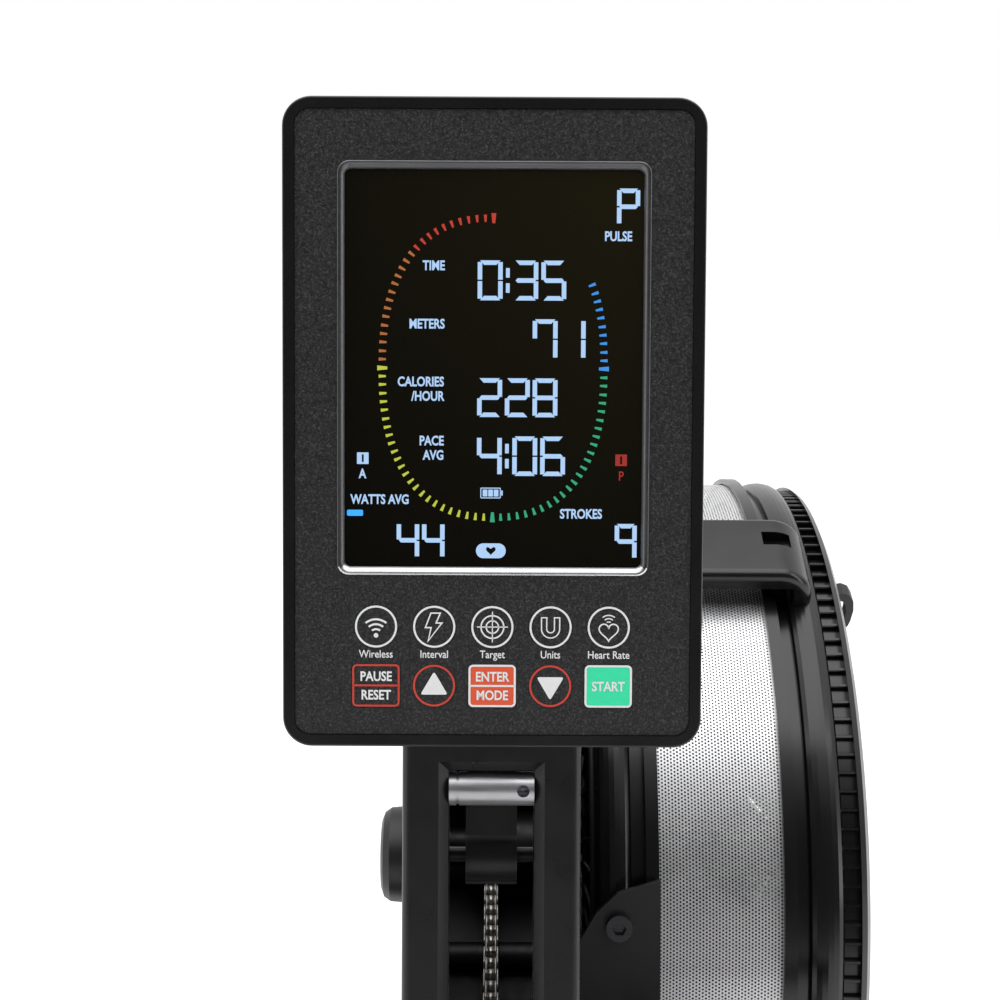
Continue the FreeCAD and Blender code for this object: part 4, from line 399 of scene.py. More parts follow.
CAD_LOOKS = {
    "frame": "left_frame_plate right_frame_plate front_leg rear_leg seat_carriage monitor_arm drum_bracket "
    "handle_bar",
    "moulded": "left_foot_plate right_foot_plate left_heel_cup right_heel_cup chain_idler cord_pulley "
    "fan_blades damper_plate monitor_shell arm_knob handle_yoke",
    "neck": "neck_cover",
    "gloss": "left_fan_cover right_fan_cover cage_grab_handle",
    "bezel": "monitor_bezel",
    "plated": "chain_sprocket seat_axles",
    "bolt": "frame_fasteners",
    # painted shade: these inner parts are near-black in place of the shade in the slot and cage
    "painted_shade_black": "frame_cross_tubes hub_sleeve fan_axle flywheel_disc",
    "tube": "neck_cross_tube",
    "rail": "rail",
    "track": "rail_tracks",
    "chain": "chain_pull_strand chain_return_strand",
    "mesh": "fan_mesh_ring",
    "rubber": "handle_rests foot_caps rail_stops left_transport_wheel right_transport_wheel",
    "grip": "handle_grips",
    "panel": "keypad_panel wireless_key interval_key target_key units_key pulse_key pause_key up_key "
    "enter_key down_key start_key",
    "lcd": "display_module",
    "webbing": "foot_straps",
    "cord": "shock_cord",
    "white_wheel": "front_seat_wheels rear_seat_wheels",
    "seat": "seat_pad",
}


def dress_frame():
    """Gives every frame node its material."""
    for look, names in CAD_LOOKS.items():
        for name in names.split():
            node = NODES[name]
            node.data.materials.clear()
            node.data.materials.append(MATERIALS[look])


# ---------------------------------------------------------------- monitor

FACE_OUT = -Vector(JOINTS["start_press"]["axis"]).normalized()
FACE_UP = Vector((0, FACE_OUT.z, -FACE_OUT.y))
PANEL_DROP = 0.6
PANEL_THICK = 2.0
GLASS_THICK = 4.0
WINDOW_Y = 20.0
GLASS_TOP = -PANEL_DROP - PANEL_THICK
INK_THICK = 0.06
MARK_TOP = GLASS_TOP + INK_THICK
KEY_TOP = -PANEL_DROP + INK_THICK
CAP_HIGH = 0.69
GLASS_MIDDLE = GLASS_TOP - GLASS_THICK / 2
FACE_CENTRE = middle("display_module") - FACE_UP * WINDOW_Y * MM - FACE_OUT * GLASS_MIDDLE * MM


def on_face(x, y, z=0.0):
    """A point of the monitor's face plane, from millimetres right, up and out."""
    return FACE_CENTRE + Vector((x * MM, 0, 0)) + FACE_UP * (y * MM) + FACE_OUT * (z * MM)


def face_place(point):
    """Millimetres right and up of a world point, seen on the monitor's face."""
    off = Vector(point) - FACE_CENTRE
    return off.x / MM, off.dot(FACE_UP) / MM


class Print:
    """Flat artwork on the monitor: shapes gathered into one mesh, raised by a hair, on one body."""

    def __init__(self, name, material, body, height, slot=None):
        self.name, self.material, self.body = name, material, body
        self.height, self.slot = height, slot
        self.verts, self.faces = [], []

    def polygon(self, points):
        start = len(self.verts)
        self.verts += [on_face(x, y, self.height) for x, y in points]
        self.faces.append(tuple(range(start, start + len(points))))

    def band(self, outer, inner, closed=True):
        """The strip between two outlines with equally many points."""
        start, count = len(self.verts), len(outer)
        self.verts += [on_face(x, y, self.height) for x, y in outer + inner]
        for i in range(count if closed else count - 1):
            j = (i + 1) % count
            self.faces.append((start + i, start + j, start + count + j, start + count + i))

    def ring(self, x, y, radius, line, start=0, end=360, steps=48):
        closed = end - start == 360
        outer = arc(x, y, radius, start, end, steps)
        inner = arc(x, y, radius - line, start, end, steps)
        if closed:
            outer, inner = outer[:-1], inner[:-1]
        self.band(outer, inner, closed)

    def disc(self, x, y, radius, steps=24):
        self.polygon(arc(x, y, radius, 0, 360, steps)[:-1])

    def frame(self, x, y, half_x, half_y, corner, line):
        outer = [(x + a, y + b) for a, b in rounded_rectangle(half_x, half_y, corner)]
        slim = rounded_rectangle(half_x - line, half_y - line, max(corner - line, 0.1))
        self.band(outer, [(x + a, y + b) for a, b in slim])

    def block(self, x, y, half_x, half_y, corner=0.1):
        self.polygon([(x + a, y + b) for a, b in rounded_rectangle(half_x, half_y, corner, 4)])

    def stroke(self, points, line, closed=False):
        """A line of even width along points."""
        count = len(points)
        outer, inner = [], []
        for i in range(count):
            before = Vector(points[(i - 1) % count] if closed or i else points[0])
            here = Vector(points[i])
            after = Vector(points[(i + 1) % count] if closed or i < count - 1 else points[-1])
            first = (here - before).normalized() if (here - before).length else (after - here).normalized()
            second = (after - here).normalized() if (after - here).length else first
            turn = (first + second).normalized()
            side = Vector((-turn.y, turn.x))
            reach = line / 2 / max(0.35, abs(turn.dot(second)))
            outer.append(tuple(here + side * reach))
            inner.append(tuple(here - side * reach))
        self.band(outer, inner, closed)

    def words(self, text, x, y, cap, align="CENTER", bold=0.0, condense=0.82):
        """Generic lettering whose capitals are cap millimetres tall, centred on y."""
        curve = bpy.data.curves.new("lettering", "FONT")
        curve.body, curve.align_x, curve.size = text, align, 1.0
        curve.resolution_u, curve.offset = 3, bold
        holder = bpy.data.objects.new("lettering", curve)
        bpy.context.collection.objects.link(holder)
        bpy.context.view_layer.update()
        mesh = bpy.data.meshes.new_from_object(holder.evaluated_get(bpy.context.evaluated_depsgraph_get()))
        bpy.data.objects.remove(holder)
        scale, start = cap / CAP_HIGH, len(self.verts)
        for v in mesh.vertices:
            across, up = v.co.x * scale * condense, (v.co.y - CAP_HIGH / 2) * scale
            self.verts.append(on_face(x + across, y + up, self.height))
        self.faces += [tuple(start + i for i in p.vertices) for p in mesh.polygons]
        bpy.data.meshes.remove(mesh)

    def finish(self):
        return piece(self.name, self.verts, self.faces, self.material, self.body)


SEGMENTS = {
    "0": "abcdef", "1": "bc", "2": "abged", "3": "abgcd", "4": "fgbc", "5": "afgcd", "6": "afgedc",
    "7": "fabc", "8": "abcdefg", "9": "abcfg", "P": "abefg",
}


def segment_points(name, wide, high, line, gap=0.27):
    """Outline of one display segment in a cell whose lower left corner is the origin."""
    half, mid, tip = line / 2, high / 2, line * 0.45
    if name in "adg":
        y = {"a": high - half, "d": half, "g": mid}[name]
        left, right = gap + line * 0.35, wide - gap - line * 0.35
        if name == "g":
            return [(left, y), (left + tip, y + half), (right - tip, y + half), (right, y),
                    (right - tip, y - half), (left + tip, y - half)]
        inner = -half if name == "a" else half
        return [(left, y - inner), (right, y - inner),
                (right - line * 0.9, y + inner), (left + line * 0.9, y + inner)]
    x0, x1 = (0, line) if name in "ef" else (wide - line, wide)
    low, top = (mid + gap, high - gap - line * 0.2) if name in "bf" else (gap + line * 0.2, mid - gap)
    return [(x0, low), (x1, low), (x1, top), (x0, top)]


def digits(art, text, x, y, wide, high, line, pitch, colon=3.4):
    """Seven-segment characters; x is the first cell's left edge and y its middle."""
    low = y - high / 2
    for mark in text:
        if mark == ":":
            at = x - (pitch - wide) / 2 + colon / 2 - 0.4
            for side in (-1, 1):
                art.block(at, y + side * high * 0.19, line * 0.42, high * 0.12)
            x += colon - 0.7
            continue
        for name in SEGMENTS[mark]:
            art.polygon([(x + a, low + b) for a, b in segment_points(name, wide, high, line)])
        x += pitch


RING_HALF = (40.0, 53.8)
RING_CENTRE = (-0.2, 20.4)
RING_POWER = 2.4
TICKS = 25


def ring_point(t):
    """A point of the tick ring at t quadrants clockwise from its top, and its outward direction."""
    angle = math.radians(90 - 90 * t)
    c, s = math.cos(angle), math.sin(angle)
    reach = (abs(c) ** RING_POWER + abs(s) ** RING_POWER) ** (-1 / RING_POWER)
    point = Vector((RING_HALF[0] * c * reach, RING_HALF[1] * s * reach))
    normal = Vector((
        math.copysign((abs(point.x) / RING_HALF[0]) ** (RING_POWER - 1) / RING_HALF[0], c),
        math.copysign((abs(point.y) / RING_HALF[1]) ** (RING_POWER - 1) / RING_HALF[1], s),
    ))
    return point + Vector(RING_CENTRE), normal.normalized()


def even_ring():
    """Tick places at even spacing along each quadrant, as (quadrant, step, point, normal)."""
    places = []
    for quadrant in range(4):
        samples = [ring_point(quadrant + i / 400) for i in range(401)]
        lengths = [0.0]
        for a, b in zip(samples, samples[1:]):
            lengths.append(lengths[-1] + (b[0] - a[0]).length)
        for step in range(TICKS):
            wanted = lengths[-1] * step / TICKS
            i = next(k for k, length in enumerate(lengths) if length >= wanted)
            places.append((quadrant, step, *samples[i]))
    return places


def tick_colour(quadrant, step):
    """Each quadrant's colour: none, then green, yellow-green, orange to red; blue above the right mark."""
    if quadrant == 0:
        return "tick_blue" if step >= TICKS - 10 else None
    if quadrant == 1:
        return "tick_blue" if step == 0 else "tick_green"
    if quadrant == 2:
        return "tick_green" if step == 0 else "tick_lime"
    if step == 0:
        return "tick_lime"
    return "tick_amber" if step < 15 else "tick_red"


TICK_LIGHTS = {
    "tick_red": ((0.50, 0.035, 0.015), 1.0),
    "tick_amber": ((0.42, 0.13, 0.03), 1.0),
    "tick_lime": ((0.50, 0.58, 0.04), 1.0),
    "tick_green": ((0.02, 0.38, 0.19), 1.0),
    "tick_blue": ((0.04, 0.28, 0.80), 1.0),
}


def tick_ring():
    """The display's ring of tapered ticks, longer at the four quarter marks."""
    arts = {}
    for name, (colour, strength) in TICK_LIGHTS.items():
        arts[name] = Print(name, lit(name + "_light", colour, strength), "monitor", MARK_TOP, "display")
    for quadrant, step, point, normal in even_ring():
        name = "tick_red" if (quadrant, step) == (0, 0) else tick_colour(quadrant, step)
        if not name:
            continue
        length, wide = (3.6, 1.75) if step == 0 else (2.6, 1.15)
        side = Vector((-normal.y, normal.x))
        inner, outer = point - normal * length / 2, point + normal * length / 2
        near, far = side * wide * 0.3, side * wide / 2
        arts[name].polygon([tuple(c) for c in (inner + near, inner - near, outer - far, outer + far)])
    for art in arts.values():
        art.finish()


def display_marks():
    """Numbers, plain words and small marks of the display."""
    art = Print("display_marks", MATERIALS["digit"], "monitor", MARK_TOP, "display")
    line = 1.62
    for text, x, y, wide, high, pitch in (
        ("P", 44.0, 78.5, 8.3, 13.0, 9.4),
        ("0:35", -5.9, 52.0, 9.0, 14.3, 10.1),
        ("71", 14.0, 31.0, 9.0, 14.3, 10.1),
        ("228", -5.9, 9.9, 9.0, 14.0, 10.0),
        ("4:06", -5.9, -11.2, 9.0, 14.3, 10.1),
        ("44", -34.9, -41.9, 8.2, 12.8, 9.2),
        ("9", 44.2, -42.0, 8.0, 12.8, 9.0),
    ):
        digits(art, text, x, y, wide, high, line, pitch)
    for text, x, y in (
        ("TIME", -17.7, 57.3),
        ("METERS", -17.7, 36.4),
        ("CALORIES", -17.9, 15.6),
        ("/HOUR", -17.9, 10.4),
        ("PACE", -17.9, -5.7),
        ("AVG", -17.9, -10.9),
    ):
        art.words(text, x, y, 3.3, "RIGHT", 0.028, 0.78)
    for text, x, y in (
        ("PULSE", 44.6, 68.0),
        ("WATTS AVG", -41.0, -27.0),
        ("STROKES", 31.9, -32.0),
        ("A", -47.3, -17.7),
    ):
        art.words(text, x, y, 3.3, "CENTER", 0.028, 0.78)
    art.frame(-0.9, -24.6, 3.7, 1.95, 0.4, 0.35)
    for x in (-2.9, -0.9, 1.1):
        art.block(x, -24.6, 0.85, 1.25)
    art.block(3.2, -24.6, 0.3, 0.9)
    number_box(art, -47.2, -12.2)
    pill(art, -0.7, -45.6)
    art.finish()
    bar = Print("display_bar", lit("bar_blue", (0.03, 0.32, 0.95), 1.4), "monitor", MARK_TOP, "display")
    bar.block(-50.0, -32.0, 2.9, 1.1, 0.5)
    bar.finish()
    red = Print("display_red_marks", lit("mark_red", (0.42, 0.02, 0.01), 0.8), "monitor", MARK_TOP, "display")
    number_box(red, 46.3, -12.5)
    red.words("P", 46.3, -18.2, 3.3, "CENTER", 0.01, 0.8)
    red.finish()


def number_box(art, x, y):
    """A filled square with a figure one left open."""
    half, slim = 2.1, 0.35
    for side in (-1, 1):
        art.block(x + side * (half + slim) / 2, y, (half - slim) / 2, half, 0.2)
    for side in (-1, 1):
        art.block(x, y + side * (half - 0.35), slim, 0.35, 0.05)


def pill(art, x, y):
    """A rounded mark with a heart left open."""
    outline = [(x + a, y + b) for a, b in rounded_rectangle(5.4, 2.7, 2.65, 10)]
    heart = heart_points(x, y - 0.1, 1.75, len(outline))
    art.band(outline, heart)


def heart_points(x, y, size, count):
    """A heart's outline, counter-clockwise from its right side, with count points."""
    points = []
    for i in range(count):
        t = math.pi / 2 - 2 * math.pi * (i + 0.5) / count
        px = 16 * math.sin(t) ** 3
        py = 13 * math.cos(t) - 5 * math.cos(2 * t) - 2 * math.cos(3 * t) - math.cos(4 * t)
        points.append((x + size * px / 16, y + size * (py + 2.5) / 16))
    return points


# The rim of the display window: outer half sizes, its ridge and its inner half sizes, in millimetres.
TRIM_RINGS = (
    (56.3, 74.3, 4.2, 0.0),
    (56.35, 74.35, 4.3, 0.35),
    (55.6, 73.6, 3.9, 0.5),
    (53.65, 71.45, 2.1, -1.1),
    (53.65, 71.45, 2.1, -1.95),
)


def window_trim():
    """A bevelled metal rim that leads down to the display, with a painted highlight: its lowest faces get a
    bright copy of the rim's grey metal.
    """
    verts = []
    for half_x, half_y, corner, rise in TRIM_RINGS:
        outline = rounded_rectangle(half_x, half_y, corner, 8)
        verts += [on_face(x, y + WINDOW_Y, rise - PANEL_DROP) for x, y in outline]
    faces = tube_faces(len(TRIM_RINGS), len(verts) // len(TRIM_RINGS))
    trim = piece("window_trim", verts, faces, MATERIALS["trim_dark"], "monitor")
    trim.data.materials.append(MATERIALS["trim"])
    bottom = on_face(0, WINDOW_Y - TRIM_RINGS[-1][1]).z
    # painted highlight: faces below the window's lower edge take the bright silver copy of the rim's metal
    for face in trim.data.polygons:
        face.material_index = int(face.center.z < bottom)
    soften(trim, 25)


KEY_SLOTS = {row["node"]: row["material_slot"] for row in frame["record"]["subparts"]}
ROUND_R = 7.65
INK = 0.72


def key_art(key, material, suffix, height=KEY_TOP):
    """Artwork that rides on a key and moves with it."""
    body = key.replace("_key", "_button")
    return Print(f"{key}_{suffix}", MATERIALS[material], body, height, KEY_SLOTS[key])


def wireless_icon(art, x, y):
    art.disc(x, y - 3.2, 0.85)
    for radius in (2.6, 4.4, 6.2):
        art.ring(x, y - 3.2, radius, INK, 50, 130, 14)


def interval_icon(art, x, y):
    upper = [(0.7, 1.4), (2.2, 5.0), (0.9, 5.0), (-1.2, 5.0)]
    lower = [(-3.2, -0.3), (-1.1, -0.3), (-2.2, -5.2), (2.8, 1.4)]
    art.stroke([(x + a, y + b) for a, b in upper + lower], 0.5, True)


def target_icon(art, x, y):
    art.ring(x, y, 4.4, 0.55)
    art.ring(x, y, 2.5, 0.5)
    for dx, dy in ((1, 0), (-1, 0), (0, 1), (0, -1)):
        art.stroke([(x, y), (x + dx * 5.6, y + dy * 5.6)], 0.4)


def units_icon(art, x, y):
    outer = [(3.3, 3.5)] + arc(0, -0.6, 3.3, 0, -180, 12) + [(-3.3, 3.5)]
    inner = [(-1.4, 3.5)] + arc(0, -0.6, 1.4, -180, 0, 12) + [(1.4, 3.5)]
    art.stroke([(x + a, y + b) for a, b in outer + inner], 0.45, True)


def pulse_icon(art, x, y):
    heart = heart_points(x, y - 1.9, 3.5, 40)
    art.stroke(heart, 0.5, True)
    for radius in (1.3, 2.5, 3.7):
        art.ring(x, y + 1.0, radius, 0.45, 50, 130, 10)


def top_keys():
    """Five ringed keys with a white line icon each and a word below."""
    icons = {
        "wireless_key": (wireless_icon, "Wireless"),
        "interval_key": (interval_icon, "Interval"),
        "target_key": (target_icon, "Target"),
        "units_key": (units_icon, "Units"),
        "pulse_key": (pulse_icon, "Heart Rate"),
    }
    words = Print("panel_words", MATERIALS["white"], "monitor", KEY_TOP, "panel_grey")
    for key, (icon, word) in icons.items():
        x, y = face_place(middle(key))
        art = key_art(key, "white", "icon")
        art.ring(x, y, ROUND_R, INK)
        icon(art, x, y)
        art.finish()
        words.words(word, x, y - 9.95, 2.75, "CENTER", 0.008, 0.86)
    words.finish()


def square_key(key, fill, line, lines, line_colour, divider):
    """A rounded key cap print: fill, outline, words and, if asked, a divider."""
    x, y = face_place(middle(key))
    half_x, half_y, corner = 8.6, 7.75, 1.7
    if fill:
        base = key_art(key, fill, "fill", KEY_TOP)
        base.block(x, y, half_x - 0.2, half_y - 0.2, corner)
        base.finish()
    edge = key_art(key, line_colour, "outline", KEY_TOP + 0.05)
    edge.frame(x, y, half_x, half_y, corner, line)
    if divider:
        edge.block(x, y, half_x - 0.3, 0.36)
    edge.finish()
    art = key_art(key, "white", "words", KEY_TOP + 0.1)
    for word, dy in lines:
        art.words(word, x, y + dy, 3.35, "CENTER", 0.026, 0.84)
    art.finish()


def arrow_key(key, up):
    x, y = face_place(middle(key))
    ring = key_art(key, "red", "ring")
    ring.ring(x, y, ROUND_R, INK)
    ring.finish()
    arrow = key_art(key, "white", "arrow")
    sign = 1 if up else -1
    arrow.polygon(arrow_points(x, y + sign * 0.2, sign))
    arrow.finish()


def arrow_points(x, y, sign):
    """A triangle with rounded corners."""
    tips = [Vector((-5.0, -3.5)), Vector((5.0, -3.5)), Vector((0.0, 5.0))]
    points = []
    for i, here in enumerate(tips):
        back, on = tips[i - 1], tips[(i + 1) % 3]
        start, end = here + (back - here).normalized() * 1.1, here + (on - here).normalized() * 1.1
        for k in range(5):
            t = k / 4
            points.append(start * (1 - t) ** 2 + here * 2 * t * (1 - t) + end * t * t)
    return [(x + p.x, y + sign * p.y) for p in points]


def bottom_keys():
    square_key("pause_key", None, 0.7, (("PAUSE", 3.4), ("RESET", -3.4)), "red", True)
    square_key("enter_key", "orange", 0.75, (("ENTER", 3.4), ("MODE", -3.4)), "white", True)
    square_key("start_key", "mint", 0.75, (("START", 0.0),), "white", False)
    arrow_key("up_key", True)
    arrow_key("down_key", False)


def monitor():
    window_trim()
    display_marks()
    tick_ring()
    top_keys()
    bottom_keys()


# ---------------------------------------------------------------- fan cage


MESH_PITCH = 2.15 * MM
MESH_HOLE = 0.54
FLANGE_HIGH = 3 * MM
VENT_BACK = 19 * MM
VENT_WIDE = 10 * MM
VENT_RIBS = 150
VENT_PROFILE = ((1.5, 9.2), (1.2, 6.2), (0.7, 5.4), (-0.7, 5.4), (-1.2, 6.2), (-1.5, 9.2))
GRILLE_RIBS = 72
GRILLE_REACH = (46 * MM, 246 * MM)
GRILLE_RINGS = (46, 104, 162, 246)
RIB_PROFILE = ((1.3, 0.0), (1.0, -3.2), (0.5, -4.0), (-0.5, -4.0), (-1.0, -3.2), (-1.3, 0.0))
RING_PROFILE = ((-1.4, 0.0), (-1.2, -3.6), (-0.6, -4.3), (0.6, -4.3), (1.2, -3.6), (1.4, 0.0))


def fan_mesh():
    """The cage's perforated sheet: hexagonal holes in a triangular lattice, wrapped round the fan's axis."""
    low, high = corners("fan_mesh_ring")
    centre = (low + high) / 2
    radius = (high.z - low.z) / 2 - 0.3 * MM
    parts = ("upper", "rear", "lower")
    around = len(parts) * round(2 * math.pi * radius / MESH_PITCH / len(parts))
    pitch = 2 * math.pi * radius / around
    rows = int((high.x - low.x) / (pitch * math.sqrt(3) / 2))
    row_step = (high.x - low.x) / rows
    corner = np.radians(np.arange(6) * 60 + 30)
    cell = np.stack([np.cos(corner), np.sin(corner)], 1) * pitch / math.sqrt(3)
    hole = cell * MESH_HOLE
    for part, label in enumerate(parts):
        span = around // len(parts)
        columns = np.arange(span) + part * span
        spots = [((c + 0.5 * (r % 2)) * pitch, (r + 0.5) * row_step) for r in range(rows) for c in columns]
        grid = np.array(spots)
        verts = np.concatenate([grid[:, None, :] + cell, grid[:, None, :] + hole], 1).reshape(-1, 2)
        start = np.arange(len(grid))[:, None] * 12
        i = np.arange(6)
        n = (i + 1) % 6
        quads = np.stack([start + i, start + n, start + 6 + n, start + 6 + i], 2).reshape(-1, 4)
        keys = np.round(verts / (0.01 * MM)).astype(np.int64)
        _, first, index = np.unique(keys, axis=0, return_index=True, return_inverse=True)
        flat = verts[first]
        faces = index.reshape(-1)[quads]
        turn = flat[:, 0] / radius
        x = np.clip(flat[:, 1], 0, high.x - low.x) + low.x
        points = np.stack([x, centre.y + radius * np.cos(turn), centre.z + radius * np.sin(turn)], 1)
        name = "fan_mesh_" + label
        mesh = bpy.data.meshes.new(name)
        mesh.vertices.add(len(points))
        mesh.vertices.foreach_set("co", points.astype(np.float32).ravel())
        mesh.loops.add(faces.size)
        mesh.loops.foreach_set("vertex_index", faces.ravel().astype(np.int32))
        mesh.polygons.add(len(faces))
        mesh.polygons.foreach_set("loop_start", (np.arange(len(faces)) * 4).astype(np.int32))
        mesh.polygons.foreach_set("loop_total", np.full(len(faces), 4, np.int32))
        mesh.update(calc_edges=True)
        mesh.validate()
        sheet = adopt(name, mesh, MATERIALS["mesh"], "frame")
        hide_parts("fan_mesh_ring")


def vent_ribs():
    """Small ribs across the vent groove of the right cover."""
    low, high = corners("right_fan_cover")
    centre = (low + high) / 2
    band = (high.z - low.z) / 2 - FLANGE_HIGH
    start, end = high.x - VENT_BACK, high.x - VENT_BACK + VENT_WIDE
    verts, faces = [], []
    for i in range(VENT_RIBS):
        out, across = spoke(2 * math.pi * i / VENT_RIBS)
        faces += bar_faces(len(VENT_PROFILE), len(verts))
        for x in (start - 0.2 * MM, end + 0.2 * MM):
            spot = Vector((x, centre.y, centre.z))
            for half, depth in VENT_PROFILE:
                verts.append(spot + out * (band - depth * MM) + across * half * MM)
    piece("vent_ribs", verts, faces, MATERIALS["gloss"], "frame")


def side_grille():
    """Radial ribs and rings that stand out of the cage's left side wall."""
    low, high = corners("left_fan_cover")
    hub = Vector((low.x + 0.3 * MM, (low.y + high.y) / 2, (low.z + high.z) / 2))
    verts, faces = [], []
    for i in range(GRILLE_RIBS):
        out, across = spoke(2 * math.pi * (i + 0.5) / GRILLE_RIBS)
        faces += bar_faces(len(RIB_PROFILE), len(verts))
        for reach in GRILLE_REACH:
            for half, depth in RIB_PROFILE:
                verts.append(hub + Vector((depth * MM, 0, 0)) + out * reach + across * half * MM)
    steps = 144
    for radius in GRILLE_RINGS:
        faces += tube_faces(steps, len(RING_PROFILE), len(verts), True)
        for i in range(steps):
            out, _ = spoke(2 * math.pi * i / steps)
            for extra, depth in RING_PROFILE:
                verts.append(hub + Vector((depth * MM, 0, 0)) + out * (radius + extra) * MM)
    grille = piece("side_grille", verts, faces, MATERIALS["moulded"], "frame")
    soften(grille, 30)


# ---------------------------------------------------------------- chain

CHAIN_PITCH = 12.7 * MM
CHAIN_TURN = 50 * MM
PULL = 1.2


def link_outline(radius, waist, steps=8):
    """Half of a link plate's figure-eight outline from pin to pin: (along, up) points."""
    points = []
    for i in range(steps + 1):
        turn = math.radians(180 - 140 * i / steps)
        points.append((radius * math.cos(turn), radius * math.sin(turn)))
    middle_up = [(CHAIN_PITCH / 2, waist)]
    mirrored = [(CHAIN_PITCH - y, z) for y, z in reversed(points)]
    return points + middle_up + mirrored


def chain_link(kind):
    """Verts and faces of one link about its first pin, along +Y, with x across."""
    verts, faces = [], []

    def prism(loop, x0, x1):
        """A closed prism across x over a loop of (y, z) points."""
        faces.extend(bar_faces(len(loop), len(verts)))
        verts.extend((x, y, z) for x in (x0, x1) for y, z in reversed(loop))

    half = link_outline(4.1 * MM, 3.0 * MM)
    loop = half + [(y, -z) for y, z in reversed(half[1:-1])]
    near, far = (2.3 * MM, 3.4 * MM) if kind == "inner" else (3.5 * MM, 4.6 * MM)
    prism(loop, near, far)
    prism(loop, -far, -near)
    radius, reach = (3.9 * MM, near) if kind == "inner" else (1.8 * MM, far + 0.3 * MM)
    for y in (0, CHAIN_PITCH):
        prism([(y + a, b) for a, b in arc(0, 0, radius, 0, 360, 14)[:-1]], -reach, reach)
    return np.array(verts), faces


def chain_pull():
    """The chain from sprocket to handle, laid out as it is at full pull and drawn back to rest."""
    low, high = corners("chain_pull_strand")
    height = (low.z + high.z) / 2
    sprocket = middle("chain_sprocket")
    rest_end = low.y + 4.2 * MM
    count = round((sprocket.y - rest_end + PULL) / CHAIN_PITCH)
    kinds = [chain_link(kind) for kind in ("inner", "outer")]
    verts, faces, total = [], [], 0
    for i in range(count):
        points, loops = kinds[(count - i) % 2]
        verts.append(points + np.array([0, rest_end - PULL + i * CHAIN_PITCH, height]))
        faces += [tuple(total + k for k in loop) for loop in loops]
        total += len(points)
    verts = np.concatenate(verts)
    start, end = sprocket.y, sprocket.y - CHAIN_TURN
    rest = np.linspace(start, end, 4001)
    t = np.clip((start - rest) / CHAIN_TURN, 0, 1)
    pulled = rest - PULL * t * t * (3 - 2 * t)
    y = verts[:, 1]
    inside = (y > pulled[-1]) & (y < start)
    verts[:, 1] = np.where(y <= pulled[-1], y + PULL, y)
    verts[inside, 1] = np.interp(y[inside], pulled[::-1], rest[::-1])
    strand = piece("chain_strand", verts, faces, MATERIALS["chain"], "frame", True)
    soften(strand, 35)
    strand.parent = None
    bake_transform(strand)
    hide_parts("chain_pull_strand")


# ---------------------------------------------------------------- handle

BAR_R = 11 * MM
BAR_STRAIGHT = 52 * MM
BAR_BEND = math.radians(10)
GRIP_RIBS = 23


def grips():
    """Ribbed rubber grips with end collars, over both sides of the handle bar."""
    low, high = corners("handle_bar")
    y, z = high.y - BAR_R, (low.z + high.z) / 2
    for side, sign in (("left", -1), ("right", 1)):
        out = Vector((sign * math.cos(BAR_BEND), -math.sin(BAR_BEND), 0))
        up = Vector((0, 0, 1))
        flat = out.cross(up)
        origin = Vector((sign * BAR_STRAIGHT, y, z))
        profile = [(22.0, 11.1), (22.0, 15.2), (22.6, 15.9), (26.0, 15.9), (27.0, 14.6)]
        for i in range(GRIP_RIBS):
            start = 28.0 + i * 6.0
            profile += [(start, 14.6), (start + 0.8, 15.5), (start + 4.2, 15.5), (start + 5.0, 14.6)]
        profile += [(167.0, 14.6), (168.0, 15.9), (173.0, 15.9), (174.0, 15.0), (174.0, 11.1)]
        verts, steps = [], 40
        for along, radius in profile:
            for k in range(steps):
                turn = 2 * math.pi * k / steps
                ring = flat * math.cos(turn) + up * math.sin(turn)
                verts.append(origin + out * along * MM + ring * radius * MM)
        faces = tube_faces(len(profile), steps)
        grip = solid(side + "_grip", verts, faces, MATERIALS["grip"], "handle")
        soften(grip, 30)
        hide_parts("handle_grips")


# ---------------------------------------------------------------- foot straps

STRAP_Y, STRAP_Z, STRAP_UP = 0.375, 0.225, 0.224
STRAP_R = 57.9 * MM
SOLE_TILT = math.radians(42)
SOLE_UP = Vector((0, math.cos(SOLE_TILT), math.sin(SOLE_TILT)))
SOLE_OUT = Vector((0, -math.sin(SOLE_TILT), math.cos(SOLE_TILT)))


def arch(centre, radius, along, turn):
    """A point of a strap's arch: turn in degrees from the outer side, along in metres up the slope."""
    t = math.radians(turn)
    return centre + Vector((radius * math.cos(t), 0, 0)) + SOLE_OUT * radius * math.sin(t) + SOLE_UP * along


def strap_band(name, centre, inner, thick, half, start, end, taper=0.0):
    """A woven band along an arch with rounded selvedges; its end may taper to a tip."""
    steps, cross = 64, []
    for k in range(15):
        side = -half + 2 * half * k / 14
        bead = 0.25 * MM if k in (1, 13) else 0.0
        cross.append((side, thick + bead - (thick * 0.45 if k in (0, 14) else 0.0)))
    loop = cross + [(side, thick - up) for side, up in reversed(cross)]
    verts, count = [], len(loop)
    for i in range(steps + 1):
        share = i / steps
        narrow = 1.0 - taper * max(0.0, share - 0.88) / 0.12
        ripple = 0.12 * MM * math.sin(share * 170)
        turn = start + (end - start) * share
        for side, up in loop:
            verts.append(arch(centre, inner + up + ripple, side * narrow, turn))
    faces = tube_faces(steps + 1, count)
    faces += [tuple(range(count)), tuple(steps * count + k for k in reversed(range(count)))]
    band = piece(name, verts, faces, MATERIALS["webbing"], "frame", True)
    soften(band, 50)
    return band


